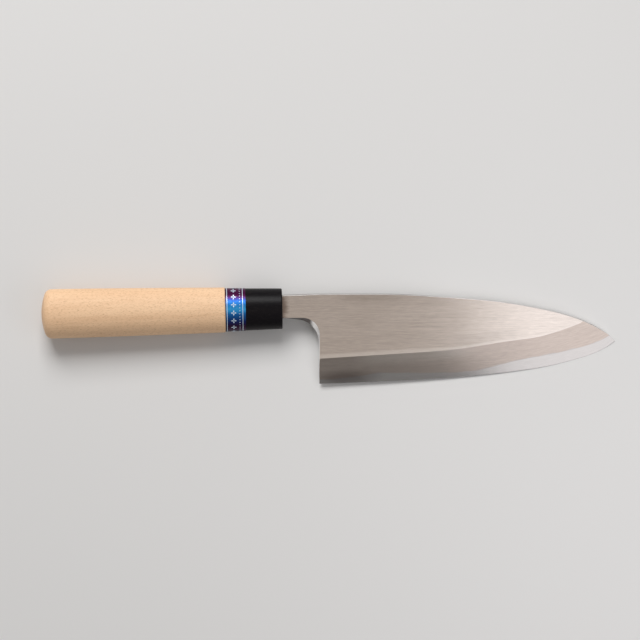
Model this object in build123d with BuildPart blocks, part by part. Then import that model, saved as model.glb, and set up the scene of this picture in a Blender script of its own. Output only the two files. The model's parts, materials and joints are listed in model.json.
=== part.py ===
"""Deba: a single-bevelled kitchen knife with a wooden handle, lying on a board face up.

The knife has axes of its own, in which it is drawn: X from the handle to the tip, Y from the
cutting edge to the spine, Z from the flat back to the ground face. Their zero is on the tang's
middle line, where the blade leaves the ferrule. The finished knife lies on the board z = 0.
All sizes are in millimetres.
"""

from build123d import *
from math import cos, pi, radians, sin
import os

# Blade, seen from the face
blade_length = 165.0  # heel to tip
blade_height = 50.4  # spine to edge at the heel
spine_rise = 8.2  # spine above the tang's middle line
spine_straight = 34.0  # straight stretch of the spine, from above the heel
tip_drop = 26.4  # tip below the spine
neck_length = 20.5  # ferrule to heel
neck_back_drop = 0.7  # how much lower the spine is where it enters the ferrule
neck_underside = 5.2  # underside of the neck below the middle line, at the ferrule
neck_flare = 2.0  # how much lower the underside runs at the heel
heel_lean = 0.8  # the heel's lower corner stands this much forward
choil_radius = 12.7  # inside corner between neck and heel

# The spine falls to the tip through these shares of its curved run and of the tip's drop.
spine_run_shares = (0.26, 0.51, 0.68, 0.81, 0.90)
spine_fall_shares = (0.057, 0.164, 0.307, 0.468, 0.645)
# The edge rises to the tip through these shares of the blade's length and of the edge's rise.
edge_run_shares = (0, 0.35, 0.55, 0.69, 0.79, 0.86, 0.93, 1)
edge_rise_shares = (0, 0.102, 0.211, 0.324, 0.439, 0.562, 0.715, 1)
# The ridge runs through these shares of the blade's length and of its height above the heel.
ridge_run_shares = (0, 0.30, 0.50, 0.64, 0.74, 0.80, 0.87, 0.95)
ridge_rise_shares = (0.286, 0.347, 0.405, 0.478, 0.525, 0.579, 0.661, 0.778)
heel_slope_share = 0.035  # rise of the edge over its run at the heel
tip_edge_slope_share = 0.85  # the same at the tip
tip_spine_slope_share = 1.1  # fall of the spine over its run at the tip

# Blade, thickness and grinding
spine_thickness = 6.5  # at the heel
tip_thinning = 3.0  # how much thinner the spine is by the tip
face_fall = 2.0  # how much thinner the upper face gets from the spine to the edge's level
edge_land = 0.2  # flat left at the cutting edge
edge_steel_thickness = 1.1  # hard layer on the back
edge_steel_start = 12.0  # it begins this far in front of the ferrule
hollow_depth = 0.45  # the back is ground hollow
hollow_length = 136.0
hollow_width = 38.0
hollow_from_heel = 3.0
bevel_overrun_share = 0.15  # the grinding surface runs past the bevel on both sides by this share
before_heel_share = 0.06  # and starts before the heel by this share of the blade's length

# Polished chamfer round the inside corner of neck and heel, on the face side
relief_depth = 3.8  # how far it reaches down from the face
relief_neck = 0.3  # its width at the ferrule
relief_corner_forward = 0.8  # where the face's corner lies, seen from the corner under it
relief_corner_up = 2.3
relief_radius = 9.8  # the face's own corner radius

# Tang
tang_length = 95.0
tang_end_height = 6.5
tang_end_thickness = 4.0
tang_shoulder = 0.6  # the neck ends and the tang begins this far in front of the ferrule

# Handle
handle_droop = 1.3  # degrees by which the handle hangs below the spine's line
handle_length = 133.8  # ferrule and grip together
ferrule_length = 31.7
butt_width = 27.5
butt_thickness = 22.0
grip_front_width = 25.0
grip_front_thickness = 20.2
grip_run_shares = (0.30, 0.60)  # the grip swells at these shares of its length
grip_swell_shares = (0.40, 0.76)  # by these shares of the whole swelling
butt_dome_radius = 32.0
butt_rounding = 4.2
butt_end_run = 4.9  # the dome and the rounding leave the grip's sides this far before the end
grip_front_chamfer = 0.4
ferrule_front_width = 22.6
ferrule_front_thickness = 18.0
ferrule_rear_width = 24.0
ferrule_rear_thickness = 19.2
ferrule_wall = 1.8
ferrule_front_wall = 2.6
ferrule_rounding = 0.6
bedding_gap = 0.8  # adhesive round the tang
bedding_end_gap = 2.0  # and behind its end
bedding_recess = 0.5  # it stays this far inside the ferrule's slot

# Film round the ferrule, beside the wood
band_width = 11.0
band_thickness = 0.12
band_margin = 0.3  # bare ferrule between the film and the wood

# How it lies: the edge touches the board at this share of its length from the heel
rest_share = 0.90
overrun = 5.0  # cutting tools run past the solid by this much
ring_steps = 72  # points tried round the handle to find where it touches

# Levels and lines that follow from the sizes
back_level = -spine_thickness / 2
face_level = spine_thickness / 2
grip_length = handle_length - ferrule_length
tip_run = neck_length + blade_length
heel_corner = (neck_length + heel_lean / 2, spine_rise - blade_height)
edge_rise = blade_height - tip_drop
edge_reach = tip_run - heel_corner[0]
tip = (tip_run, spine_rise - tip_drop)
inner_corner = (neck_length - heel_lean / 2, -neck_underside - neck_flare)


def edge_points():
    """Points of the cutting edge from the heel to the tip, seen from the face."""
    return [
        (heel_corner[0] + run * edge_reach, heel_corner[1] + rise * edge_rise)
        for run, rise in zip(edge_run_shares, edge_rise_shares)
    ]


def ridge_points():
    """Points of the line between the upper face and the bevel, from the heel on."""
    return [
        (neck_length + run * blade_length, heel_corner[1] + rise * blade_height)
        for run, rise in zip(ridge_run_shares, ridge_rise_shares)
    ]


def spine_points():
    """Points of the spine's curve, from the end of its straight stretch to the tip."""
    start = neck_length + spine_straight
    curved = blade_length - spine_straight
    inner = [
        (start + run * curved, spine_rise - fall * tip_drop)
        for run, fall in zip(spine_run_shares, spine_fall_shares)
    ]
    return [(start, spine_rise), *inner, tip]


def face_height(run, rise):
    """Level of the upper face at a place of the blade."""
    towards_tip = tip_thinning * (run - neck_length) / blade_length
    towards_edge = face_fall * (spine_rise - rise) / blade_height
    return face_level - towards_tip - towards_edge


# The edge in the knife's own axes, which the outline and the way it lies both follow
edge_curve = Edge.make_spline(
    [Vector(*point, back_level) for point in edge_points()],
    tangents=[Vector(1, heel_slope_share), Vector(1, tip_edge_slope_share)],
)


def handle_ring(run, width, thickness):
    """Points round the handle, a run behind the ferrule's front, in the knife's own axes."""
    centre = Vector(-run * cos(radians(handle_droop)), -run * sin(radians(handle_droop)))
    turns = [2 * pi * step / ring_steps for step in range(ring_steps)]
    return [
        centre + Vector(0, width / 2 * cos(turn), thickness / 2 * sin(turn)) for turn in turns
    ]


def board_under_knife():
    """The board's plane, seen from the knife: it touches the edge and the handle from below."""
    touch = edge_curve.position_at(rest_share)
    along = edge_curve.tangent_at(rest_share)
    sideways = Vector(-along.Y, along.X)
    rings = [
        *handle_ring(0, ferrule_front_width, ferrule_front_thickness),
        *handle_ring(ferrule_length + grip_front_chamfer, grip_front_width, grip_front_thickness),
        *handle_ring(handle_length - butt_end_run, butt_width, butt_thickness),
    ]
    slopes = [(touch.Z - point.Z) / (point - touch).dot(sideways) for point in rings]
    steepest = max(slopes)
    up = (sideways * steepest + Vector(0, 0, 1)).normalized()
    across = up.cross(Vector(1, 0, 0)).normalized()
    handle_top = grip_front_width / 2 - ferrule_length * sin(radians(handle_droop))
    middle = Vector((tip_run - handle_length) / 2, (handle_top + heel_corner[1]) / 2, touch.Z)
    under = middle - Vector(0, 0, steepest * (middle - touch).dot(sideways))
    return Plane(origin=under, x_dir=across.cross(up), z_dir=up)


# The knife's own axes as they lie on the board, and those of its handle
knife = Plane(board_under_knife().location.inverse())
handle = Plane(knife.location * Location((0, 0, 0), (0, 0, handle_droop)))


def across_handle(run):
    """A section plane of the handle, a run behind the ferrule's front: width, then thickness."""
    origin = handle.from_local_coords(Vector(-run, 0, 0))
    return Plane(origin=origin, x_dir=handle.y_dir, z_dir=handle.x_dir)


def across_knife(run):
    """A section plane of the tang or blade: height of the blade, then its thickness."""
    origin = knife.from_local_coords(Vector(run, 0, 0))
    return Plane(origin=origin, x_dir=knife.y_dir, z_dir=knife.x_dir)


def ferrule_width(run):
    """Width of the ferrule, a run behind its front."""
    return ferrule_front_width + (ferrule_rear_width - ferrule_front_width) * run / ferrule_length


def ferrule_thickness(run):
    """Thickness of the ferrule, a run behind its front."""
    swelling = ferrule_rear_thickness - ferrule_front_thickness
    return ferrule_front_thickness + swelling * run / ferrule_length


def ferrule_oval(run, growth):
    """An oval of the ferrule's outside, grown or shrunk all round, as a face on its plane."""
    with BuildSketch(across_handle(run)) as oval:
        Ellipse(ferrule_width(run) / 2 + growth, ferrule_thickness(run) / 2 + growth)
    return oval.sketch


def tang_section(run, growth):
    """The tang's section, a run behind the ferrule's front, grown all round, as a face."""
    share = (run + tang_shoulder) / (tang_length + tang_shoulder)
    top = spine_rise - neck_back_drop
    height = (top + neck_underside) * (1 - share) + tang_end_height * share
    thickness = spine_thickness * (1 - share) + tang_end_thickness * share
    middle = (top - neck_underside) / 2 * (1 - share) - run * sin(radians(handle_droop)) * share
    with BuildSketch(across_knife(-run)) as section:
        with Locations((middle, 0)):
            Rectangle(height + 2 * growth, thickness + 2 * growth)
    return section.sketch


def corner_air(level, neck_start, corner, radius):
    """The open space below the neck and behind the heel, at a level of the blade."""
    far = heel_corner[1] - overrun
    with BuildSketch(knife.offset(level)) as air:
        with BuildLine():
            FilletPolyline((-overrun, neck_start), corner, heel_corner, radius=radius)
            Polyline(heel_corner, (heel_corner[0], far), (-overrun, far), (-overrun, neck_start))
        make_face()
    return air.sketch


# Blade blank: the outline with its full thickness, then every surface that is ground on it
with BuildPart() as ground_blade:
    with BuildSketch(knife.offset(back_level)):
        with BuildLine():
            FilletPolyline(
                (tang_shoulder, -neck_underside), inner_corner, heel_corner, radius=choil_radius
            )
            Spline(*edge_points(), tangents=[(1, heel_slope_share), (1, tip_edge_slope_share)])
            Spline(*spine_points(), tangents=[(1, 0), (1, -tip_spine_slope_share)])
            Polyline(
                (neck_length + spine_straight, spine_rise),
                (neck_length, spine_rise),
                (tang_shoulder, spine_rise - neck_back_drop),
                (tang_shoulder, -neck_underside),
            )
        make_face()
    extrude(amount=spine_thickness)

    # Upper face, which thins the blade towards the tip and towards the edge
    face_normal = Vector(tip_thinning / blade_length, -face_fall / blade_height, 1)
    face_origin = Vector(neck_length, spine_rise, face_level)
    upper_face = Plane(
        origin=knife.from_local_coords(face_origin),
        z_dir=knife.from_local_coords(face_origin + face_normal)
        - knife.from_local_coords(face_origin),
    )
    split(bisect_by=upper_face, keep=Keep.BOTTOM)

    # Bevel: a surface of straight lines from the edge to the ridge, carried past both
    edge_side = [Vector(*point, back_level + edge_land) for point in edge_points()]
    ridge_side = [Vector(*point, face_height(*point)) for point in ridge_points()]
    back_up = Vector(before_heel_share * blade_length, 0)
    edge_side.insert(0, edge_side[0] - back_up)
    ridge_side.insert(0, ridge_side[0] - back_up)
    spans = [low - high for low, high in zip(edge_side, ridge_side)]
    low_line = [low + span * bevel_overrun_share for low, span in zip(edge_side, spans)]
    high_line = [high - span * bevel_overrun_share for high, span in zip(ridge_side, spans)]
    with BuildLine() as low_rail:
        Spline(*[knife.from_local_coords(point) for point in low_line])
    with BuildLine() as high_rail:
        Spline(*[knife.from_local_coords(point) for point in high_line])
    bevel = Face.make_surface_from_curves(low_rail.edge(), high_rail.edge())
    extrude(bevel, amount=spine_thickness + overrun, dir=knife.z_dir, mode=Mode.SUBTRACT)

    # Chamfer round the inside corner
    foot = corner_air(
        face_level - relief_depth, -neck_underside, inner_corner, choil_radius
    )
    brim_corner = (
        inner_corner[0] + relief_corner_forward,
        inner_corner[1] + relief_corner_up,
    )
    brim = corner_air(face_level, -neck_underside + relief_neck, brim_corner, relief_radius)
    loft([foot, brim], ruled=True, mode=Mode.SUBTRACT)

    # Hollow back, as a large wheel leaves it: a barrel whose belly dips into the back
    wheel_radius = (hollow_width**2 / 4 + hollow_depth**2) / (2 * hollow_depth)
    hollow_middle = neck_length + hollow_from_heel + hollow_length / 2
    reach = hollow_length / 2 + overrun
    end_sag = hollow_depth * (2 * reach / hollow_length) ** 2
    wheel_centre = Vector(
        hollow_middle, spine_rise - blade_height / 2, back_level + hollow_depth - wheel_radius
    )
    wheel_plane = Plane(
        origin=knife.from_local_coords(wheel_centre), x_dir=knife.x_dir, z_dir=-knife.y_dir
    )
    with BuildSketch(wheel_plane):
        with BuildLine():
            ThreePointArc(
                (-reach, wheel_radius - end_sag), (0, wheel_radius), (reach, wheel_radius - end_sag)
            )
            Polyline(
                (reach, wheel_radius - end_sag),
                (reach, 0),
                (-reach, 0),
                (-reach, wheel_radius - end_sag),
            )
        make_face()
    revolve(axis=Axis(wheel_plane.origin, wheel_plane.x_dir), mode=Mode.SUBTRACT)

# Where the hard layer lies: a slab along the back, from in front of the ferrule to past the tip
with BuildPart() as layer_space:
    with BuildSketch(knife.offset(back_level - overrun)):
        with Locations((edge_steel_start, spine_rise + overrun)):
            Rectangle(
                tip_run + overrun - edge_steel_start,
                blade_height + 2 * overrun,
                align=(Align.MIN, Align.MAX),
            )
    extrude(amount=overrun + edge_steel_thickness)

with BuildPart() as edge_steel:
    add(ground_blade.part)
    add(layer_space.part, mode=Mode.INTERSECT)

with BuildPart() as blade_cladding:
    add(ground_blade.part)
    add(layer_space.part, mode=Mode.SUBTRACT)
    loft([tang_section(-tang_shoulder, 0), tang_section(tang_length, 0)], ruled=True)

# The bore that the tang is bedded in runs through ferrule and grip alike
with BuildPart() as bore:
    loft(
        [
            tang_section(-overrun, bedding_gap),
            tang_section(tang_length + bedding_end_gap, bedding_gap),
        ],
        ruled=True,
    )

# Ferrule: an oval cap, with the tenon's socket behind its front wall
with BuildPart() as tenon_space:
    loft(
        [
            ferrule_oval(ferrule_front_wall, -ferrule_wall),
            ferrule_oval(ferrule_length, -ferrule_wall),
        ],
        ruled=True,
    )

with BuildPart() as ferrule_body:
    loft([ferrule_oval(0, 0), ferrule_oval(ferrule_length, 0)], ruled=True)

with BuildPart() as ferrule:
    add(ferrule_body.part)
    fillet(ferrule.edges().sort_by(Axis(handle.origin, handle.x_dir))[-1], ferrule_rounding)
    add(tenon_space.part, mode=Mode.SUBTRACT)
    add(bore.part, mode=Mode.SUBTRACT)

# Grip: ovals from the shoulder to past the butt, then the butt's dome and its rounding
with BuildPart() as handle_grip:
    for run_share, swell_share in zip((0, *grip_run_shares, 1), (0, *grip_swell_shares, 1)):
        past_butt = overrun if run_share == 1 else 0
        with BuildSketch(across_handle(ferrule_length + run_share * grip_length + past_butt)):
            Ellipse(
                (grip_front_width + (butt_width - grip_front_width) * swell_share) / 2,
                (grip_front_thickness + (butt_thickness - grip_front_thickness) * swell_share) / 2,
            )
    loft()
    with BuildPart(mode=Mode.PRIVATE) as domed_bar:
        with Locations(handle.location * Location((butt_dome_radius - handle_length, 0, 0))):
            Sphere(butt_dome_radius)
            Cylinder(
                butt_dome_radius,
                handle_length,
                rotation=(0, 90, 0),
                align=(Align.CENTER, Align.CENTER, Align.MIN),
            )
    add(domed_bar.part, mode=Mode.INTERSECT)
    ends = handle_grip.edges().sort_by(Axis(handle.origin, handle.x_dir))
    fillet(ends[0], butt_rounding)
    shoulder = handle_grip.edges().sort_by(Axis(handle.origin, handle.x_dir))[-1]
    chamfer(shoulder, grip_front_chamfer)
    add(tenon_space.part)
    add(bore.part, mode=Mode.SUBTRACT)

# Bedding: what the tang leaves of the bore, from just inside the ferrule's slot
with BuildPart() as tang_bedding:
    add(bore.part)
    split(bisect_by=across_handle(bedding_recess), keep=Keep.BOTTOM)
    add(blade_cladding.part, mode=Mode.SUBTRACT)

# Film: a thin sleeve on the ferrule
with BuildPart() as foil_band:
    band_rear = ferrule_length - band_margin
    loft(
        [
            ferrule_oval(band_rear - band_width, band_thickness),
            ferrule_oval(band_rear, band_thickness),
        ],
        ruled=True,
    )
    add(ferrule_body.part, mode=Mode.SUBTRACT)

blade_cladding.part.label = "blade_cladding"
edge_steel.part.label = "edge_steel"
handle_grip.part.label = "handle_grip"
ferrule.part.label = "ferrule"
foil_band.part.label = "foil_band"
tang_bedding.part.label = "tang_bedding"

os.makedirs("parts", exist_ok=True)
export_step(blade_cladding.part, "parts/blade_cladding.step")
export_step(edge_steel.part, "parts/edge_steel.step")
export_step(handle_grip.part, "parts/handle_grip.step")
export_step(ferrule.part, "parts/ferrule.step")
export_step(foil_band.part, "parts/foil_band.step")
export_step(tang_bedding.part, "parts/tang_bedding.step")
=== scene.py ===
"""Looks of a deba knife that lies face up on a pale floor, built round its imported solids.

Sizes are in millimetres in the knife's own axes: X from the handle to the tip, Y from the edge
to the spine, Z from the flat back to the ground face. Meshes end up in metres, as the knife lies.
"""

from __future__ import annotations

import json
import logging
import math
from collections.abc import Callable, Sequence
from dataclasses import dataclass, field
from enum import Enum, IntEnum, auto

import bmesh
import bpy
import numpy as np
from mathutils import Matrix, Quaternion, Vector
from mathutils.geometry import delaunay_2d_cdt

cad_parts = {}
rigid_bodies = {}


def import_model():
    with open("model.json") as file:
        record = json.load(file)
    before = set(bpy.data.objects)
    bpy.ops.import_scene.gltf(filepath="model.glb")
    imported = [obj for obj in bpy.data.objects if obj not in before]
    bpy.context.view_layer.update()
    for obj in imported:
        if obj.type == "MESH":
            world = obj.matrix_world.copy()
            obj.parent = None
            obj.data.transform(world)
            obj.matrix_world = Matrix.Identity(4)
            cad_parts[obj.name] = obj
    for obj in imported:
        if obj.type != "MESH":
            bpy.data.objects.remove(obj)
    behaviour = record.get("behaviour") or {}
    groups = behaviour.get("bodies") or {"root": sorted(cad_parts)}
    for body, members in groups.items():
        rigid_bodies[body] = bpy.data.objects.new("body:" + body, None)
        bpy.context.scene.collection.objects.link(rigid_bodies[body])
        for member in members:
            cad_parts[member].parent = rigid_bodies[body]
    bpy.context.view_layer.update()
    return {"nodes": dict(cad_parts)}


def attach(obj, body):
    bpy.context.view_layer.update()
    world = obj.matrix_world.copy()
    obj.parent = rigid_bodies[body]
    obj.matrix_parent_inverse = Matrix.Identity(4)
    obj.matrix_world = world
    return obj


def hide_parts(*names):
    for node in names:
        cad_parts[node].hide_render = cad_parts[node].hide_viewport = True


LOG = logging.getLogger("deba")
MM = 0.001

Colour = tuple[float, float, float]
Range = tuple[float, float]
Values = np.ndarray | float
Level = Callable[[np.ndarray], np.ndarray]


# Node trees written as expressions


@dataclass(frozen=True)
class Term:
    """An output socket that Python's operators work on: each one adds a Math node."""

    sheet: Sheet
    socket: bpy.types.NodeSocket

    def __add__(self, other: Term | float) -> Term:
        """Adds."""
        return self.sheet.maths("ADD", self, other)

    def __radd__(self, other: float) -> Term:
        """Adds, with the number first."""
        return self.sheet.maths("ADD", other, self)

    def __sub__(self, other: Term | float) -> Term:
        """Subtracts."""
        return self.sheet.maths("SUBTRACT", self, other)

    def __rsub__(self, other: float) -> Term:
        """Subtracts from a number."""
        return self.sheet.maths("SUBTRACT", other, self)

    def __mul__(self, other: Term | float) -> Term:
        """Multiplies."""
        return self.sheet.maths("MULTIPLY", self, other)

    def __rmul__(self, other: float) -> Term:
        """Multiplies, with the number first."""
        return self.sheet.maths("MULTIPLY", other, self)

    def __truediv__(self, other: Term | float) -> Term:
        """Divides."""
        return self.sheet.maths("DIVIDE", self, other)

    def __rtruediv__(self, other: float) -> Term:
        """Divides a number by this."""
        return self.sheet.maths("DIVIDE", other, self)

    def __gt__(self, other: Term | float) -> Term:
        """1 where this is the greater, else 0."""
        return self.sheet.maths("GREATER_THAN", self, other)

    def __lt__(self, other: Term | float) -> Term:
        """1 where this is the smaller, else 0."""
        return self.sheet.maths("LESS_THAN", self, other)


class Sheet:
    """A shader or geometry node tree that is written as expressions."""

    def __init__(self, tree: bpy.types.NodeTree) -> None:
        """Starts on an existing tree."""
        self.tree = tree

    def add(
        self,
        kind: str,
        settings: dict[str, object] | None = None,
        sockets: dict[str | int, object] | None = None,
    ) -> bpy.types.Node:
        """Adds one node.

        Args:
            kind: The node's type name.
            settings: Its properties, set first. stops fills a colour ramp.
            sockets: Values or terms, by the inputs' identifier, name or number.

        Returns:
            The node.
        """
        made = self.tree.nodes.new(kind)
        for name, value in (settings or {}).items():
            if name == "stops":
                self._fill_ramp(made.color_ramp, value)
            else:
                setattr(made, name, value)
        self.feed(made, sockets or {})
        return made

    def node(
        self,
        kind: str,
        settings: dict[str, object] | None = None,
        sockets: dict[str | int, object] | None = None,
        out: str | int = 0,
    ) -> Term:
        """Adds one node, as add does, and returns one of its outputs."""
        return self.output(self.add(kind, settings, sockets), out)

    def feed(self, node: bpy.types.Node, sockets: dict[str | int, object]) -> None:
        """Sets or links inputs of a node.

        Args:
            node: The node.
            sockets: Values or terms by input. All terms of a list go into the one input.
        """
        for key, value in sockets.items():
            socket = self._find(node.inputs, key)
            for part in value if isinstance(value, list) else [value]:
                if isinstance(part, Term):
                    self.tree.links.new(part.socket, socket)
                else:
                    socket.default_value = part

    def output(self, node: bpy.types.Node, key: str | int) -> Term:
        """An output of a node, by identifier, name or number."""
        return Term(self, self._find(node.outputs, key))

    def maths(self, operation: str, *values: Term | float, clamp: bool = False) -> Term:
        """Adds a Math node.

        Args:
            operation: What it does.
            values: Its inputs in order.
            clamp: True to keep the result between 0 and 1.

        Returns:
            The result.
        """
        settings = {"operation": operation, "use_clamp": clamp}
        return self.node("ShaderNodeMath", settings, dict(enumerate(values)))

    def vector(self, operation: str, *values: Term | Sequence[float]) -> Term:
        """Adds a Vector Math node."""
        settings = {"operation": operation}
        return self.node("ShaderNodeVectorMath", settings, dict(enumerate(values)))

    def split(self, vector: Term) -> list[Term]:
        """The three parts of a vector."""
        parts = self.add("ShaderNodeSeparateXYZ", sockets={0: vector})
        return [self.output(parts, number) for number in range(3)]

    def join(self, x: Term | float, y: Term | float, z: Term | float) -> Term:
        """A vector of three parts."""
        return self.node("ShaderNodeCombineXYZ", sockets={0: x, 1: y, 2: z})

    def length(self, x: Term, y: Term) -> Term:
        """The length of a flat vector."""
        return self.maths("SQRT", x * x + y * y)

    def ease(self, value: Term, low: float, high: float) -> Term:
        """A smooth step from 0 at low to 1 at high."""
        settings = {"interpolation_type": "SMOOTHSTEP"}
        return self.node("ShaderNodeMapRange", settings, {0: value, 1: low, 2: high})

    def blend(self, share: Term | float, first: Term | Colour, second: Term | Colour) -> Term:
        """Mixes two colours.

        Args:
            share: How much there is of the second, from 0 to 1.
            first: A colour or the term of one.
            second: The other.

        Returns:
            The mixed colour.
        """
        ends = [end if isinstance(end, Term) else (*end, 1.0) for end in (first, second)]
        values = {"Factor_Float": share, "A_Color": ends[0], "B_Color": ends[1]}
        return self.node("ShaderNodeMix", {"data_type": "RGBA"}, values, "Result_Color")

    def bump(self, height: Term, strength: float, depth: float) -> Term:
        """A normal that is tilted by a height, whose depth is in millimetres."""
        sockets = {"Strength": strength, "Distance": depth * MM, "Height": height}
        return self.node("ShaderNodeBump", sockets=sockets)

    def uv_map(self, title: str) -> list[Term]:
        """The two parts of a UV map, and a third of 0."""
        return self.split(self.node("ShaderNodeUVMap", {"uv_map": title}))

    @staticmethod
    def _fill_ramp(ramp: bpy.types.ColorRamp, stops: Sequence[tuple[float, Colour]]) -> None:
        """Gives a colour ramp its stops.

        Args:
            ramp: The ramp.
            stops: Places from 0 to 1 with their colours.
        """
        while len(ramp.elements) < len(stops):
            ramp.elements.new(1.0)
        for element, (place, colour) in zip(ramp.elements, stops):
            element.position = place
            element.color = (*colour, 1.0)

    @staticmethod
    def _find(sockets: object, key: str | int) -> bpy.types.NodeSocket:
        """Finds a socket.

        Args:
            sockets: A node's inputs or outputs.
            key: Its number, identifier or name.

        Returns:
            The socket.
        """
        if isinstance(key, int):
            return sockets[key]
        for socket in sockets:
            if socket.identifier == key:
                return socket
        return sockets[key]


# Axes: how the knife lies, and how its handle hangs


@dataclass(frozen=True)
class Axes:
    """A right-handed set of axes in the lying frame, in millimetres."""

    origin: Vector
    along: Vector
    up: Vector

    @property
    def matrix(self) -> Matrix:
        """From millimetres in these axes to metres in the lying frame."""
        turn = Matrix((self.along, self.up.cross(self.along), self.up)).transposed()
        return Matrix.Translation(self.origin * MM) @ turn.to_4x4() @ Matrix.Scale(MM, 4)

    def turned(self, degrees: float) -> Axes:
        """The same origin, with the axes turned about their own up."""
        turn = Matrix.Rotation(math.radians(degrees), 3, self.up)
        return Axes(self.origin, turn @ self.along, self.up)


KNIFE = Axes(
    Vector((-25.6248, 14.6253, 9.36343)),
    Vector((0.99969, 0.0, -0.024895)),
    Vector((0.024832, -0.071247, 0.99715)),
)
HANDLE = KNIFE.turned(1.3)


# Lines and loops in plan


def smooth_line(
    points: Sequence[tuple[float, float]],
    start: tuple[float, float] | None = None,
    end: tuple[float, float] | None = None,
    steps: int = 24,
) -> np.ndarray:
    """A cubic spline through points, spaced by their distances.

    Args:
        points: What it passes through.
        start: Its direction at the first point, or None to leave it free.
        end: The same at the last point.
        steps: Samples per span.

    Returns:
        The samples, one row each.
    """
    knots = np.array(points, float)
    gaps = np.linalg.norm(np.diff(knots, axis=0), axis=1)
    count = len(knots)
    system = np.zeros((count, count))
    wanted = np.zeros_like(knots)
    slopes = np.diff(knots, axis=0) / gaps[:, None]
    for i in range(1, count - 1):
        before, after = 1 / gaps[i - 1], 1 / gaps[i]
        system[i, i - 1 : i + 2] = before, 2 * before + 2 * after, after
        wanted[i] = 3 * (slopes[i - 1] * before + slopes[i] * after)
    for row, neighbour, slope, direction in (
        (0, 1, slopes[0], start),
        (count - 1, count - 2, slopes[-1], end),
    ):
        if direction is None:
            system[row, row], system[row, neighbour] = 2, 1
            wanted[row] = 3 * slope
        else:
            system[row, row] = 1
            wanted[row] = np.array(direction) / np.linalg.norm(direction)
    tangents = np.linalg.solve(system, wanted)
    made = [knots[:1]]
    t = np.arange(1, steps + 1)[:, None] / steps
    for i, gap in enumerate(gaps):
        made.append(
            (2 * t**3 - 3 * t**2 + 1) * knots[i]
            + (t**3 - 2 * t**2 + t) * gap * tangents[i]
            + (3 * t**2 - 2 * t**3) * knots[i + 1]
            + (t**3 - t**2) * gap * tangents[i + 1]
        )
    return np.concatenate(made)


def spaced(line: np.ndarray, step: float, ease: float = 0.0) -> np.ndarray:
    """Points at even distances along a line, both of its ends kept.

    Args:
        line: The line's own points.
        step: The distance wanted.
        ease: From 0 to 1, how much closer they stand at the line's far end.

    Returns:
        The points.
    """
    lengths = np.concatenate([[0], np.cumsum(np.linalg.norm(np.diff(line, axis=0), axis=1))])
    count = max(2, round(lengths[-1] / step) + 1)
    share = np.linspace(0, 1, count)
    places = (share + ease * share * (1 - share)) * lengths[-1]
    return np.stack([np.interp(places, lengths, line[:, axis]) for axis in (0, 1)], axis=1)


def rounded_corner(
    before: Sequence[float],
    corner: Sequence[float],
    after: Sequence[float],
    radius: float,
    steps: int,
) -> np.ndarray:
    """The arc that rounds a corner.

    Args:
        before: A point on the line that comes to the corner.
        corner: The corner.
        after: A point on the line that leaves it.
        radius: The arc's radius.
        steps: How many pieces it has.

    Returns:
        Its points, from where it touches the first line to where it touches the second.
    """
    corner = np.array(corner, float)
    arms = [np.array(end, float) - corner for end in (before, after)]
    arms = [arm / np.linalg.norm(arm) for arm in arms]
    half = math.acos(float(arms[0] @ arms[1])) / 2
    touch = [corner + arm * radius / math.tan(half) for arm in arms]
    middle = arms[0] + arms[1]
    centre = corner + middle / np.linalg.norm(middle) * radius / math.sin(half)
    angles = [math.atan2(*(point - centre)[::-1]) for point in touch]
    sweep = (angles[1] - angles[0] + math.pi) % (2 * math.pi) - math.pi
    turns = angles[0] + sweep * np.linspace(0, 1, steps + 1)
    return centre + radius * np.stack([np.cos(turns), np.sin(turns)], axis=1)


def inside(points: np.ndarray, loop: np.ndarray) -> np.ndarray:
    """Tells which points lie within a closed loop.

    Args:
        points: The points, one row each.
        loop: The loop's corners.

    Returns:
        True for each point that does.
    """
    x, y = points[:, :1], points[:, 1:]
    x0, y0 = loop[:, 0], loop[:, 1]
    x1, y1 = np.roll(x0, -1), np.roll(y0, -1)
    crosses = (y0 > y) != (y1 > y)
    rise = np.where(y1 == y0, 1.0, y1 - y0)
    return (crosses & (x < x0 + (y - y0) / rise * (x1 - x0))).sum(axis=1) % 2 == 1


def distance_to(points: np.ndarray, others: np.ndarray) -> np.ndarray:
    """The distance from each point to the nearest of the others."""
    gaps = points[:, None, :] - others[None, :, :]
    return np.sqrt((gaps**2).sum(axis=2)).min(axis=1)


def point_at(line: np.ndarray, run: float, other: np.ndarray | None = None) -> np.ndarray:
    """The point of a line at a run.

    Args:
        line: A line whose runs grow.
        run: The run.
        other: Another line with matching points, to take the point from instead.

    Returns:
        The point.
    """
    after = int(np.argmax(line[:, 0] > run))
    share = (run - line[after - 1, 0]) / (line[after, 0] - line[after - 1, 0])
    target = line if other is None else other
    return target[after - 1] + (target[after] - target[after - 1]) * share


def inward(loop: np.ndarray) -> np.ndarray:
    """Works out which way the inside of a loop lies.

    Args:
        loop: Its points, walked with the inside on the left.

    Returns:
        A direction for each point.
    """
    along = np.roll(loop, -1, axis=0) - np.roll(loop, 1, axis=0)
    along /= np.maximum(np.linalg.norm(along, axis=1), 1e-9)[:, None]
    return np.column_stack([-along[:, 1], along[:, 0]])


def face_outwards(bm: bmesh.types.BMesh) -> None:
    """Turns the faces of closed bodies outwards.

    Args:
        bm: The bodies.
    """
    bmesh.ops.recalc_face_normals(bm, faces=bm.faces)
    if bm.calc_volume(signed=True) < 0:
        bmesh.ops.reverse_faces(bm, faces=bm.faces)


# Plates: bodies with a top and a bottom surface inside one outline


class Finish(IntEnum):
    """The finish of a blade's surface. The numbers are its material slots."""

    FACE = 0
    BEVEL = 1
    HARD = 2
    CHOIL = 3
    SPINE = 4
    RIM = 5
    HOLLOW = 6


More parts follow.
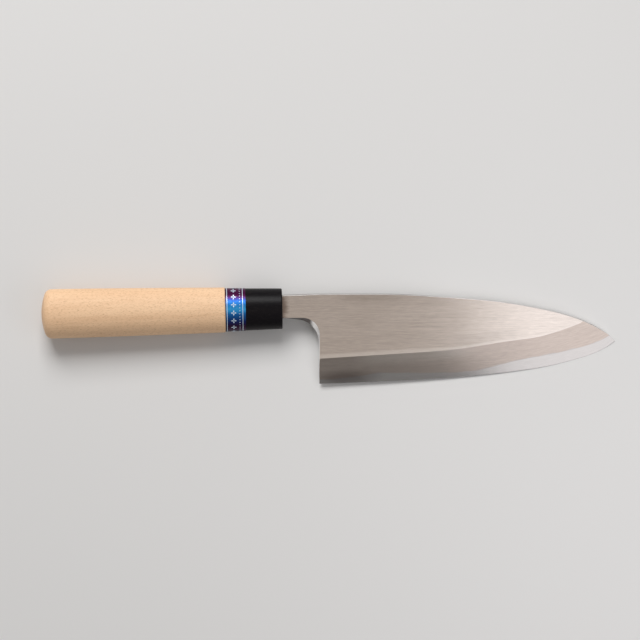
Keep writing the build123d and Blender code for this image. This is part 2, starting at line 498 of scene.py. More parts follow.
@dataclass
class Rim:
    """A plate's outline, walked with the plate on its left, and how its corners are eased.

    Attributes:
        line: Its points in plan.
        brim: Where the top surface ends beside each of them.
        fall: How far the wall falls from the brim to the line.
        roundness: 1 for a round fall, 0 for a straight chamfer.
        under: Where the bottom surface ends beside each of them.
        rise: How far the rounding under the line rises to the wall.
        finish: The finish of the wall behind each of them.
    """

    line: np.ndarray
    brim: np.ndarray
    fall: np.ndarray
    roundness: np.ndarray
    under: np.ndarray
    rise: np.ndarray
    finish: np.ndarray


@dataclass
class Plate:
    """A closed body between two surfaces over the same outline.

    Attributes:
        rim: The outline.
        top: The upper surface's level at a place.
        bottom: The lower surface's level.
        top_lines: Lines on the upper surface that its mesh follows and that stay crisp.
        bottom_lines: The same on the lower surface.
        top_finish: The finish of a place on the upper surface.
        bottom_finish: The same on the lower surface.
        top_spacing: Distance of the points inside the upper surface.
        bottom_spacing: The same of the lower surface.
        corner_steps: Facets of each rounding along the outline.
        clearance: Free strip beside every line, in spacings.
        flat_from: The run from which faces are shaded flat, where both surfaces meet.
        crease: The angle in degrees from which an edge stays crisp.
        weld: Points closer than this become one.
    """

    rim: Rim
    top: Level
    bottom: Level
    top_lines: list[np.ndarray]
    bottom_lines: list[np.ndarray]
    top_finish: Level
    bottom_finish: Level
    top_spacing: float = 2.0
    bottom_spacing: float = 2.0
    corner_steps: int = 4
    clearance: float = 0.55
    flat_from: float = math.inf
    crease: float = 26.0
    weld: float = 1e-4
    places: list[np.ndarray] = field(default_factory=list, init=False)
    faces: list[tuple[int, ...]] = field(default_factory=list, init=False)
    finishes: list[int] = field(default_factory=list, init=False)
    crisp: set[frozenset[int]] = field(default_factory=set, init=False)

    def build(self) -> None:
        """Makes the rings round the outline, then closes them above and below."""
        rings = self._rings()
        count = len(self.rim.line)
        self.places = [np.concatenate(rings)]
        for high in range(0, (len(rings) - 1) * count, count):
            low = high + count
            for i in range(count):
                j = (i + 1) % count
                self.faces.append((high + i, low + i, low + j, high + j))
                self.finishes.append(int(self.rim.finish[i]))
        last = (len(rings) - 1) * count
        self._cap(rings[0][:, :2], 0, self.top_lines, self.top_spacing, True)
        self._cap(rings[-1][:, :2], last, self.bottom_lines, self.bottom_spacing, False)

    def _rings(self) -> list[np.ndarray]:
        """Eases the corners along the outline.

        Returns:
            Closed rings from the brim of the top, down the wall, to the bottom.
        """
        rim = self.rim
        brim_level = self.top(rim.brim)
        under_level = self.bottom(rim.under)
        shares = [step / self.corner_steps for step in range(self.corner_steps + 1)]
        rings = []
        for share in shares:
            turn = share * math.pi / 2
            out = rim.roundness * math.sin(turn) + (1 - rim.roundness) * share
            down = rim.roundness * (1 - math.cos(turn)) + (1 - rim.roundness) * share
            plan = rim.brim + (rim.line - rim.brim) * out[:, None]
            rings.append(np.column_stack([plan, brim_level - rim.fall * down]))
        for share in shares:
            turn = share * math.pi / 2
            plan = rim.line + (rim.under - rim.line) * (1 - math.cos(turn))
            level = under_level + rim.rise * (1 - math.sin(turn))
            rings.append(np.column_stack([plan, level]))
        return rings

    def _cap(
        self, loop: np.ndarray, first: int, lines: list[np.ndarray], spacing: float, is_top: bool
    ) -> None:
        """Closes a ring with a surface of triangles that follow the given lines.

        Args:
            loop: The ring in plan.
            first: The number of its first corner.
            lines: What the triangles follow.
            spacing: Distance of the points between the lines.
            is_top: True for the upper surface.
        """
        level = self.top if is_top else self.bottom
        finish = self.top_finish if is_top else self.bottom_finish
        bodies, edges = self._numbered(loop, lines, spacing / 2)
        fixed = np.concatenate([loop, *bodies])
        points = np.concatenate([fixed, self._grid(loop, fixed, spacing)])
        found, _, faces, sources, _, _ = delaunay_2d_cdt(
            [Vector(point) for point in points], edges, [list(range(len(loop)))], 1, 1e-7
        )
        spots = np.array([tuple(point) for point in found])
        heights = level(spots)
        base = sum(len(part) for part in self.places)
        numbers, extra = [], []
        for spot, height, source in zip(spots, heights, sources):
            ring = [s for s in source if s < len(loop)]
            if ring:
                numbers.append(first + ring[0])
            else:
                numbers.append(base + len(extra))
                extra.append((*spot, height))
        if extra:
            self.places.append(np.array(extra))
        kinds = finish(np.array([spots[list(face)].mean(axis=0) for face in faces]))
        for face, kind in zip(faces, kinds):
            corners = [numbers[i] for i in face]
            self.faces.append(tuple(corners if is_top else corners[::-1]))
            self.finishes.append(int(kind))
        kept = {s: number for number, source in zip(numbers, sources) for s in source}
        for a, b in edges:
            if a in kept and b in kept:
                self.crisp.add(frozenset((kept[a], kept[b])))

    @staticmethod
    def _numbered(
        loop: np.ndarray, lines: list[np.ndarray], reach: float
    ) -> tuple[list[np.ndarray], list[tuple[int, int]]]:
        """Numbers the points of lines after those of a loop.

        Args:
            loop: The loop.
            lines: The lines. A closed one ends where it starts.
            reach: An end that lies nearer to the loop than this takes the loop's point.

        Returns:
            The points of each line, and the pairs of numbers that its pieces join.
        """
        bodies, edges = [], []
        total = len(loop)
        for line in lines:
            closed = np.allclose(line[0], line[-1])
            body = line[:-1] if closed else line
            numbers = list(range(total, total + len(body)))
            if closed:
                numbers.append(total)
            else:
                for end in (0, -1):
                    gaps = np.linalg.norm(loop - body[end], axis=1)
                    if gaps.min() < reach:
                        numbers[end] = int(gaps.argmin())
            edges += list(zip(numbers[:-1], numbers[1:]))
            bodies.append(body)
            total += len(body)
        return bodies, edges

    def _grid(self, loop: np.ndarray, fixed: np.ndarray, spacing: float) -> np.ndarray:
        """Fills a loop with a triangular grid.

        Args:
            loop: The loop.
            fixed: Points that the grid keeps clear of.
            spacing: Distance of the grid's points.

        Returns:
            The grid's points.
        """
        low, high = loop.min(axis=0), loop.max(axis=0)
        rows = np.arange(low[1], high[1], spacing * math.sqrt(3) / 2)
        grid = [
            (x, y)
            for number, y in enumerate(rows)
            for x in np.arange(low[0] + spacing / 2 * (number % 2), high[0], spacing)
        ]
        grid = np.array(grid)
        grid = grid[inside(grid, loop)]
        return grid[distance_to(grid, fixed) > spacing * self.clearance]

    def to_mesh(self, name: str, maps: dict[str, Level]) -> bpy.types.Mesh:
        """Turns the plate into a mesh of the lying knife.

        Args:
            name: The mesh's name.
            maps: For each UV map, the pair of distances that it holds for a place.

        Returns:
            A closed mesh with those maps.
        """
        places = np.concatenate(self.places)
        bm = bmesh.new()
        verts = [bm.verts.new(place) for place in places]
        layers = [
            (bm.loops.layers.uv.new(title), pair(places[:, :2]) * MM)
            for title, pair in maps.items()
        ]
        for corners, kind in zip(self.faces, self.finishes):
            unique = [c for n, c in enumerate(corners) if c not in corners[:n]]
            if len(unique) < 3:
                continue
            face = bm.faces.new([verts[c] for c in unique])
            face.material_index = kind
            face.smooth = bool(places[unique, 0].min() < self.flat_from)
            for loop, corner in zip(face.loops, unique):
                for layer, values in layers:
                    loop[layer].uv = values[corner]
        bm.verts.index_update()
        for edge in bm.edges:
            if frozenset(vert.index for vert in edge.verts) in self.crisp:
                edge.smooth = False
        bmesh.ops.remove_doubles(bm, verts=bm.verts, dist=self.weld)
        bmesh.ops.dissolve_degenerate(bm, edges=bm.edges, dist=self.weld)
        face_outwards(bm)
        bm.transform(KNIFE.matrix)
        bm.normal_update()
        crease = math.radians(self.crease)
        for edge in bm.edges:
            if len(edge.link_faces) == 2 and edge.calc_face_angle() > crease:
                edge.smooth = False
        mesh = bpy.data.meshes.new(name)
        bm.to_mesh(mesh)
        open_edges = sum(len(edge.link_faces) != 2 for edge in bm.edges)
        bm.free()
        LOG.info("%s: %d faces, %d open edges", name, len(mesh.polygons), open_edges)
        return mesh


# The blade


@dataclass
class Blade:
    """The laminated blade: soft cladding over a thin layer of hard steel, hollow at the back.

    Runs are counted along the knife from the ferrule's front, so the heel's run is the neck's
    length.

    Attributes:
        spine: Place of the straight spine across the knife.
        spine_straight: How far it runs straight from the heel on.
        neck_end: Run of the shoulder between neck and tang.
        neck_back_drop: How far the neck's back has fallen there.
        neck_flare: How much lower the neck's underside lies at the choil.
        heel_lean: How much further forward the heel is than the choil.
        face_fall: How much the face sinks from the spine's height to the edge's.
        land: Thickness of the cutting edge.
        hard_start: Run where the hard layer starts.
        ledge: Half the run over which the cladding's underside steps there.
        tang_end: The middle, height and thickness of the tang's end.
        hollow_ends: How long the hollow's ends are, by the handle and by the tip.
        hollow_rims: Widths of the flat rim, by the edge and by the spine.
        hollow_fill: How much sooner than its outline the hollow gets its full depth.
        relief_depth: How far below the face the choil's chamfer reaches.
        relief_corner: Its widths along and across at the corner.
        rounding_shares: The most of the wall that spine's and back's rounding may take.
        spine_fade: How far before the seam's end the spine's rounding begins to go.
        flat_tip: How far before it the cladding is shaded flat.
        sharp_tip: How long the tip is without a rounding.
        crowding: How much closer the outline's points stand towards the tip.
        apart: The least distance from the end of one line to the next point.
        overrun: How far the ridge is drawn past the tip.
        steps: Pieces of the choil's arc, of the neck, of the heel and of the tang's sides.
        scan_steps: Samples in the search for the seam's end.
    """

    length: float = 165.0
    height: float = 50.4
    spine: float = 8.2
    spine_straight: float = 34.0
    spine_tip_slope: float = -1.1
    edge_slopes: Range = (0.035, 0.85)
    tip_drop: float = 26.4
    neck: float = 20.5
    neck_end: float = 0.6
    neck_back_drop: float = 0.7
    neck_underside: float = 5.2
    neck_flare: float = 2.0
    heel_lean: float = 0.8
    choil_radius: float = 12.7
    thickness: float = 6.5
    tip_thinning: float = 3.0
    face_fall: float = 2.0
    land: float = 0.12
    hard_start: float = 12.0
    ledge: float = 0.01
    tang_length: float = 95.0
    tang_end: tuple[float, float, float] = (-2.155, 6.5, 4.0)
    hollow_depth: float = 0.45
    hollow_span: Range = (24.0, 164.0)
    hollow_ends: Range = (11.0, 48.0)
    hollow_rims: Range = (2.2, 2.8)
    hollow_fill: float = 1.15
    relief_depth: float = 3.8
    relief_neck: float = 0.3
    relief_corner: Range = (0.8, 2.3)
    relief_radius: float = 9.8
    spine_rounding: float = 0.32
    back_rounding: float = 0.3
    rounding_shares: Range = (0.5, 0.4)
    spine_fade: float = 6.0
    flat_tip: float = 2.0
    sharp_tip: float = 0.5
    step: float = 1.3
    crowding: float = 0.25
    apart: float = 0.3
    overrun: float = 2.0
    steps: tuple[int, int, int, int] = (28, 8, 21, 19)
    hollow_steps: int = 120
    scan_steps: int = 3999

    # What the lines pass through: shares of the length, and of the height or the tip's drop
    edge_runs: tuple[float, ...] = (0, 0.35, 0.55, 0.69, 0.79, 0.86, 0.93, 1)
    edge_rises: tuple[float, ...] = (0, 0.102, 0.211, 0.324, 0.439, 0.562, 0.715, 1)
    ridge_runs: tuple[float, ...] = (0, 0.30, 0.50, 0.64, 0.74, 0.80, 0.87, 0.95)
    ridge_rises: tuple[float, ...] = (0.286, 0.347, 0.405, 0.478, 0.525, 0.579, 0.661, 0.778)
    spine_runs: tuple[float, ...] = (0.26, 0.51, 0.68, 0.81, 0.90)
    spine_falls: tuple[float, ...] = (0.057, 0.164, 0.307, 0.468, 0.645)

    # The hard strip's width above the edge at runs along the knife, on the rear and the far half
    strip_runs: tuple[float, ...] = (20.9, 35, 45, 54.6, 65.8, 88, 99.2, 110.4)
    strip_widths: tuple[float, ...] = (1.9, 2.5, 3.7, 4.6, 4.2, 2.8, 2.3, 2.7)
    far_strip_runs: tuple[float, ...] = (121.5, 132.7, 143.8, 155, 166, 176, 186)
    far_strip_widths: tuple[float, ...] = (4.5, 5.8, 6.3, 6.1, 5.8, 5.5, 5.2)

    def __post_init__(self) -> None:
        """Draws the lines that everything else follows."""
        self.back = -self.thickness / 2
        self.face = self.thickness / 2
        self.relief_foot = self.face - self.relief_depth
        self.tip_run = self.neck + self.length
        self.heel = (self.neck + self.heel_lean / 2, self.spine - self.height)
        self.choil = (self.neck - self.heel_lean / 2, -self.neck_underside - self.neck_flare)
        reach, rise = self.tip_run - self.heel[0], self.height - self.tip_drop
        edge = [
            (self.heel[0] + run * reach, self.heel[1] + share * rise)
            for run, share in zip(self.edge_runs, self.edge_rises)
        ]
        heel_slope, tip_slope = self.edge_slopes
        self.edge_line = smooth_line(edge, (1, heel_slope), (1, tip_slope))
        ridge = [
            (self.neck + run * self.length, self.heel[1] + share * self.height)
            for run, share in zip(self.ridge_runs, self.ridge_rises)
        ]
        ridge_line = smooth_line(ridge)
        past = ridge_line[-1] - ridge_line[-2]
        past *= (self.tip_run + self.overrun - ridge_line[-1, 0]) / past[0]
        self.ridge_line = np.concatenate([ridge_line, [ridge_line[-1] + past]])
        start = self.neck + self.spine_straight
        curved = self.length - self.spine_straight
        spine = [
            (start + run * curved, self.spine - fall * self.tip_drop)
            for run, fall in zip((0, *self.spine_runs, 1), (0, *self.spine_falls, 1))
        ]
        self.spine_line = smooth_line(spine, (1, 0), (1, self.spine_tip_slope))
        neck = [(self.neck_end, self.spine - self.neck_back_drop), (self.neck, self.spine)]
        self.upper_line = np.concatenate([neck, self.spine_line])
        widths = [*zip(self.strip_runs, self.strip_widths)]
        widths += zip(self.far_strip_runs, self.far_strip_widths)
        self.strip_line = smooth_line(widths)

    def edge_at(self, run: Values) -> Values:
        """The cutting edge's place across the blade."""
        return np.interp(run, self.edge_line[:, 0], self.edge_line[:, 1])

    def ridge_at(self, run: Values) -> Values:
        """The ridge's place across the blade."""
        return np.interp(run, self.ridge_line[:, 0], self.ridge_line[:, 1])

    def spine_at(self, run: Values) -> Values:
        """The spine's place across the blade."""
        return np.interp(run, self.upper_line[:, 0], self.upper_line[:, 1])

    def strip_at(self, run: Values) -> Values:
        """The hard strip's width above the edge."""
        return np.interp(run, self.strip_line[:, 0], self.strip_line[:, 1])

    def seam_at(self, run: Values) -> Values:
        """The place across the blade where the two steels meet on the bevel."""
        return self.edge_at(run) + self.strip_at(run)

    def blank_level(self, run: Values) -> Values:
        """Half of the thickness that the blank allows, which shrinks along the tang."""
        share = np.clip((self.neck_end - run) / (self.tang_length + self.neck_end), 0, 1)
        return self.face * (1 - share) + self.tang_end[2] / 2 * share

    def face_level(self, place: np.ndarray) -> np.ndarray:
        """The flat upper face, without the bevel."""
        plane = (
            self.face
            - self.tip_thinning * (place[:, 0] - self.neck) / self.length
            - self.face_fall * (self.spine - place[:, 1]) / self.height
        )
        return np.minimum(plane, self.blank_level(place[:, 0]))

    def slope(self, run: np.ndarray) -> np.ndarray:
        """How steeply the bevel rises from the edge.

        Args:
            run: The runs.

        Returns:
            Its rise per millimetre across the blade.
        """
        edge, ridge = self.edge_at(run), self.ridge_at(run)
        top = self.face_level(np.column_stack([run, ridge]))
        return (top - self.back - self.land) / (ridge - edge)

    def bevel_level(self, place: np.ndarray) -> np.ndarray:
        """The bevel, carried on past the ridge."""
        run = place[:, 0]
        return self.back + self.land + (place[:, 1] - self.edge_at(run)) * self.slope(run)

    def top_level(self, place: np.ndarray) -> np.ndarray:
        """The whole upper side."""
        return np.minimum(self.face_level(place), self.bevel_level(place))

    def seam_level(self, run: np.ndarray) -> np.ndarray:
        """Where cladding and hard steel meet inside the blade."""
        held = np.clip(run, self.heel[0], self.tip_run)
        return self.back + self.land + self.strip_at(held) * self.slope(held)

    def clad_bottom(self, place: np.ndarray) -> np.ndarray:
        """The underside of the cladding: the seam, or the bare back before the hard layer."""
        run = place[:, 0]
        return np.where(run < self.hard_start, -self.blank_level(run), self.seam_level(run))

    def hard_top(self, place: np.ndarray) -> np.ndarray:
        """The upper side of the hard layer: the bevel's strip, then the seam."""
        return np.minimum(self.bevel_level(place), self.seam_level(place[:, 0]))

    def hollow_limits(self, run: np.ndarray) -> tuple[np.ndarray, np.ndarray, np.ndarray]:
        """The hollow at a run.

        Args:
            run: The runs.

        Returns:
            Its middle across the blade, half its width between the rims, and how much of that
            its ends leave, from 0 to 1.
        """
        low = self.edge_at(run) + self.hollow_rims[0]
        high = self.spine_at(run) - self.hollow_rims[1]
        into = np.clip((run - self.hollow_span[0]) / self.hollow_ends[0], 0, 1)
        out = np.clip((self.hollow_span[1] - run) / self.hollow_ends[1], 0, 1)
        ends = np.sqrt(1 - (1 - into) ** 2) * np.sqrt(1 - (1 - out) ** 2)
        return (low + high) / 2, (high - low) / 2, ends

    def hollow_share(self, place: np.ndarray) -> tuple[np.ndarray, np.ndarray]:
        """Where a place lies in the hollow: from -1 to 1 across it, and its end's easing."""
        middle, half, ends = self.hollow_limits(place[:, 0])
        return (place[:, 1] - middle) / np.maximum(half * ends, 1e-6), ends

    def back_level(self, place: np.ndarray) -> np.ndarray:
        """The back with its hollow.

        Args:
            place: Places in plan.

        Returns:
            The level at each of them.
        """
        across, ends = self.hollow_share(place)
        filled = np.minimum(1, ends * self.hollow_fill)
        return self.back + np.clip(1 - across**2, 0, 1) * filled * self.hollow_depth

    def upper_finish(self, place: np.ndarray) -> np.ndarray:
        """The cladding above: the bevel below the ridge, the face over it."""
        return np.where(place[:, 1] < self.ridge_at(place[:, 0]), Finish.BEVEL, Finish.FACE)

    def under_finish(self, place: np.ndarray) -> np.ndarray:
        """The cladding below: the rim's finish where it is bare."""
        return np.where(place[:, 0] < self.hard_start, Finish.RIM, Finish.SPINE)

    def strip_finish(self, place: np.ndarray) -> np.ndarray:
        """The hard layer above: the strip's finish where it is bare."""
        return np.where(place[:, 1] < self.seam_at(place[:, 0]), Finish.HARD, Finish.SPINE)

    def back_finish(self, place: np.ndarray) -> np.ndarray:
        """The hard layer below: the hollow and its rim."""
        across, ends = self.hollow_share(place)
        return np.where((np.abs(across) < 1) & (ends > 0), Finish.HOLLOW, Finish.RIM)

    def cladding(self) -> Plate:
        """Lays out the soft steel: upper face, most of the bevel, neck and tang.

        Returns:
            Its plate.
        """
        foot, brim = self._choil_lines()
        kept = foot[:, 1] > self.seam_at(self.heel[0]) + self.apart
        foot, brim = foot[kept], brim[kept]
        seam = self._seam_line()
        meeting = float(seam[-1, 0])
        spine = self._spine_back(meeting, self.neck_end)
        tang = self._tang()
        runs = (self.hard_start - self.ledge, self.hard_start + self.ledge)
        low_ends = [point_at(foot, run) for run in runs]
        brim_ends = [point_at(foot, run, brim) for run in runs]
        high_ends = [(run, float(self.spine_at(run))) for run in runs]
        place = int((foot[:, 0] < self.hard_start).sum())
        foot = np.insert(foot, place, low_ends, axis=0)
        brim = np.insert(brim, place, brim_ends, axis=0)
        place = int((spine[:, 0] > self.hard_start).sum())
        spine = np.insert(spine, place, high_ends[::-1], axis=0)
        line, finish = self._outline(
            (tang, Finish.SPINE), (foot, Finish.CHOIL), (seam, Finish.BEVEL), (spine, Finish.SPINE)
        )
        brim_line = np.concatenate([tang, brim, seam, spine])
        is_choil = finish == Finish.CHOIL
        is_spine = (finish == Finish.SPINE) & (line[:, 0] >= self.neck_end)
        wall = np.clip(self.top_level(line) - self.clad_bottom(line), 0, None)
        easing = np.minimum(self.spine_rounding, self.rounding_shares[0] * wall)
        easing *= np.clip((meeting - line[:, 0]) / self.spine_fade, 0, 1)
        fall = np.where(is_spine, easing, 0.0)
        fall[is_choil] = np.clip(self.top_level(brim_line[is_choil]) - self.relief_foot, 0, None)
        brim_line[is_spine] += (inward(line) * easing[:, None])[is_spine]
        rim = Rim(
            line=line,
            brim=brim_line,
            fall=fall,
            roundness=(~is_choil).astype(float),
            under=line,
            rise=np.zeros(len(line)),
            finish=finish,
        )
        ridge_runs = np.arange(self.neck, meeting, self.step)
        ridge = np.column_stack([ridge_runs, self.ridge_at(ridge_runs)])
        return Plate(
            rim,
            top=self.top_level,
            bottom=self.clad_bottom,
            top_lines=[self._trimmed(ridge, brim_line)],
            bottom_lines=[np.array([low, high]) for low, high in zip(low_ends, high_ends)],
            top_finish=self.upper_finish,
            bottom_finish=self.under_finish,
            bottom_spacing=3.0,
            flat_from=meeting - self.flat_tip,
        )

    def hard_steel(self) -> Plate:
        """Lays out the hard layer: strip along the edge, and the whole back with its hollow.

        Returns:
            Its plate.
        """
        choil, _ = self._choil_lines()
        first = point_at(choil, self.hard_start)[None]
        foot = choil[choil[:, 0] > self.hard_start + self.apart]
        seam_foot = self.seam_at(self.heel[0])
        foot[np.abs(foot[:, 1] - seam_foot).argmin(), 1] = seam_foot
        edge = spaced(self.edge_line, self.step, self.crowding)
        seam = self._seam_line()
        meeting = seam[-1]
        spine = self._spine_back(self.tip_run, self.hard_start)[1:]
        spine = spine[np.abs(spine[:, 0] - meeting[0]) > self.apart]
        spine = np.insert(spine, int((spine[:, 0] > meeting[0]).sum()), meeting, axis=0)
        front = spaced(np.stack([spine[-1], first[0]]), self.step)[1:-1]
        line, finish = self._outline(
            (first, Finish.SPINE),
            (foot[:-1], Finish.SPINE),
            (edge, Finish.HARD),
            (spine, Finish.SPINE),
            (front, Finish.SPINE),
        )
        wall = self.hard_top(line) - self.back
        rise = np.minimum(self.back_rounding, self.rounding_shares[1] * wall)
        rise[(finish == Finish.HARD) | (line[:, 0] > self.tip_run - self.sharp_tip)] = 0
        rim = Rim(
            line=line,
            brim=line,
            fall=np.zeros(len(line)),
            roundness=np.zeros(len(line)),
            under=line + inward(line) * rise[:, None],
            rise=rise,
            finish=finish,
        )
        return Plate(
            rim,
            top=self.hard_top,
            bottom=self.back_level,
            top_lines=[np.concatenate([self._trimmed(seam, line)[:-1], [meeting]])],
            bottom_lines=[self._hollow_line()],
            top_finish=self.strip_finish,
            bottom_finish=self.back_finish,
        )

    @staticmethod
    def _outline(*parts: tuple[np.ndarray, Finish]) -> tuple[np.ndarray, np.ndarray]:
        """Joins lines into one, and gives the finish of each of its points."""
        line = np.concatenate([part for part, _ in parts])
        return line, np.concatenate([np.full(len(part), finish) for part, finish in parts])

    def _choil_lines(self) -> tuple[np.ndarray, np.ndarray]:
        """Draws the underside of the neck, the choil and the heel.

        Returns:
            The line, and the brim of its chamfer with matching points.
        """
        arc_steps, neck_steps, heel_steps, _ = self.steps
        root = np.array([self.neck_end, -self.neck_underside])
        lines = []
        for lift, corner, radius in (
            (0.0, (0.0, 0.0), self.choil_radius),
            (self.relief_neck, self.relief_corner, self.relief_radius),
        ):
            start = root + (0.0, lift)
            arc = rounded_corner(
                start, np.array(self.choil) + corner, self.heel, radius, arc_steps
            )
            before = np.linspace(start, arc[0], neck_steps + 1)[:-1]
            after = np.linspace(arc[-1], self.heel, heel_steps + 1)[1:]
            lines.append(np.concatenate([before, arc, after]))
        foot, brim = lines
        full = np.maximum(self.face_level(foot) - self.relief_foot, 1e-6)
        share = np.clip((self.top_level(foot) - self.relief_foot) / full, 0, 1)
        return foot, foot + (brim - foot) * share[:, None]

    def _seam_line(self) -> np.ndarray:
        """Draws the seam on the bevel.

        Returns:
            The line from the heel to where it meets the spine near the tip.
        """
        runs = np.linspace(self.heel[0], self.tip_run, self.scan_steps + 1)
        gaps = self.spine_at(runs) - self.seam_at(runs)
        after = int(np.argmax(gaps < 0))
        share = gaps[after - 1] / (gaps[after - 1] - gaps[after])
        meeting = float(runs[after - 1] + (runs[after] - runs[after - 1]) * share)
        runs = np.linspace(self.heel[0], meeting, round((meeting - self.heel[0]) / self.step))
        line = np.column_stack([runs, self.seam_at(runs)])
        line[-1, 1] = self.spine_at(meeting)
        return line

    def _spine_back(self, start: float, end: float) -> np.ndarray:
        """Draws the spine, backwards.

        Args:
            start: A run near the tip, whose own point is left out.
            end: A run on the neck.

        Returns:
            The line from there to there.
        """
        neck = np.arange(end + 1, self.neck, self.step)
        xs = np.concatenate([[end, self.neck], neck, self.spine_line[:, 0]])
        xs = np.unique(np.clip(xs, end, start))
        line = np.column_stack([xs, self.spine_at(xs)])
        return spaced(line, self.step, self.crowding)[::-1][1:]

    def _tang(self) -> np.ndarray:
        """Draws the tang.

        Returns:
            The line from the spine's side round its end to the neck's underside.
        """
        middle, height, _ = self.tang_end
        side_steps = self.steps[3]
        top = (self.neck_end, self.spine - self.neck_back_drop)
        high = (-self.tang_length, middle + height / 2)
        low = (-self.tang_length, middle - height / 2)
        bottom = (self.neck_end, -self.neck_underside)
        upper = np.linspace(top, high, side_steps + 1)[1:]
        end = np.linspace(high, low, 3)[1:]
        lower = np.linspace(low, bottom, side_steps + 1)[1:-1]
        return np.concatenate([upper, end, lower])

    def _hollow_line(self) -> np.ndarray:
        """Draws the outline of the hollow.

        Returns:
            The closed line.
        """
        start, end = self.hollow_span
        turn = np.linspace(0, math.pi, self.hollow_steps + 1)
        runs = (start + end) / 2 + (end - start) / 2 * np.cos(turn)
        middle, half, ends = self.hollow_limits(runs)
        upper = np.column_stack([runs, middle + half * ends])
        lower = np.column_stack([runs, middle - half * ends])[::-1][1:-1]
        return spaced(np.concatenate([upper, lower, upper[:1]]), self.step)

    def _trimmed(self, line: np.ndarray, loop: np.ndarray) -> np.ndarray:
        """Cuts a line off at a loop.

        Args:
            line: The line.
            loop: The loop.

        Returns:
            What lies inside, with the loop's nearest points as its ends.
        """
        held = line[inside(line, loop)]
        held = held[distance_to(held, loop) > self.step / 2]
        ends = [loop[np.linalg.norm(loop - held[i], axis=1).argmin()] for i in (0, -1)]
        return np.concatenate([[ends[0]], held, [ends[1]]])

    def grain_map(self, place: np.ndarray) -> np.ndarray:
        """The run, and the distance from the edge, beside which the bevel is ground."""
        run = place[:, 0]
        return np.column_stack([run, place[:, 1] - self.edge_at(run)])

    def line_map(self, place: np.ndarray) -> np.ndarray:
        """The distances above the ridge and above the seam of the two steels."""
        run, across = place[:, 0], place[:, 1]
        return np.column_stack([across - self.ridge_at(run), across - self.seam_at(run)])

    def build(self, finishes: dict[Finish, bpy.types.Material]) -> None:
        """Makes both steels.

        Args:
            finishes: The material of each finish.
        """
        for name, node, slot, plate in (
            ("blade_body", "blade_cladding", "blade_steel", self.cladding()),
            ("blade_edge_layer", "edge_steel", "hard_steel", self.hard_steel()),
        ):
            plate.build()
            mesh = plate.to_mesh(name, {"Grain": self.grain_map, "Lines": self.line_map})
            for finish in Finish:
                mesh.materials.append(finishes[finish])
            piece = bpy.data.objects.new(name, mesh)
            bpy.context.scene.collection.objects.link(piece)
            shading = piece.modifiers.new("even_shading", "WEIGHTED_NORMAL")
            shading.keep_sharp = True
            shading.weight = 80
            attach(piece, "root")
            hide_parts(node)
            LOG.info("piece %s stands for %s", name, node)


# Finishes


@dataclass(frozen=True)
class Pattern:
    """Noise from 0 to 1.

    Attributes:
        scale: How often it changes along each axis, per millimetre.
        detail: How many finer layers it has.
    """

    scale: tuple[float, float, float]
    detail: float = 2.0

    def on(self, sheet: Sheet, place: Term) -> Term:
        """Adds the noise.

        Args:
            sheet: Where to.
            place: Millimetres in some axes.

        Returns:
            Its value there.
        """
        stretched = sheet.vector("MULTIPLY", place, self.scale)
        sockets = {"Vector": stretched, "Scale": 1.0, "Detail": self.detail}
        return sheet.node("ShaderNodeTexNoise", sockets=sockets)


def new_sheet(name: str) -> tuple[bpy.types.Material, Sheet, bpy.types.Node]:
    """An empty material.

    Args:
        name: The material's name.

    Returns:
        The material, its node sheet and its Principled shader.
    """
    material = bpy.data.materials.new(name)
    material.use_nodes = True
    return material, Sheet(material.node_tree), material.node_tree.nodes["Principled BSDF"]


@dataclass(frozen=True)
class Coat:
    """A finish: a Principled shader, whose inputs each kind of finish works out.

    Attributes:
        name: The material's name.
    """

    name: str
    axes = HANDLE

    def sockets(self, sheet: Sheet, place: Term) -> dict[str, Term | float]:
        """Works the shader's inputs out.

        Args:
            sheet: The material's sheet.
            place: Millimetres in the finish's axes.

        Returns:
            Terms or values by the inputs' names.
        """
        raise NotImplementedError

    def material(self) -> bpy.types.Material:
        """Builds the material.

        Returns:
            The material.
        """
        material, sheet, shader = new_sheet(self.name)
        inverse = self.axes.matrix.inverted()
        mapping = {
            "Vector": sheet.node("ShaderNodeTexCoord", out="Object"),
            "Location": inverse.translation,
            "Rotation": inverse.to_euler(),
            "Scale": (1 / MM, 1 / MM, 1 / MM),
        }
        place = sheet.node("ShaderNodeMapping", {"vector_type": "POINT"}, mapping)
        sheet.feed(shader, self.sockets(sheet, place))
        return material


class Reading(Enum):
    """A distance that a mark on the blade is placed by, in millimetres."""

    RUN = auto()
    ACROSS = auto()
    ABOVE_EDGE = auto()
    ABOVE_SEAM = auto()
    ABOVE_RIDGE = auto()
    BELOW_RIDGE = auto()


class Spot:
    """A point of the blade as its marks see it: every reading, and a slow drift about 0."""

    def __init__(self, sheet: Sheet, place: Term) -> None:
        """Takes the readings.

        Args:
            sheet: The material's sheet.
            place: Millimetres in the knife's axes.
        """
        run, across, _ = sheet.split(place)
        _, above_edge, _ = sheet.uv_map("Grain")
        above_ridge, above_seam, _ = sheet.uv_map("Lines")
        self.sheet = sheet
        self.drift = Pattern((0.12, 0.5, 0.5), 3.0).on(sheet, place) - 0.5
        self.readings = {
            Reading.RUN: run,
            Reading.ACROSS: across,
            Reading.ABOVE_EDGE: above_edge / MM,
            Reading.ABOVE_SEAM: above_seam / MM,
            Reading.ABOVE_RIDGE: above_ridge / MM,
            Reading.BELOW_RIDGE: above_ridge / -MM,
        }


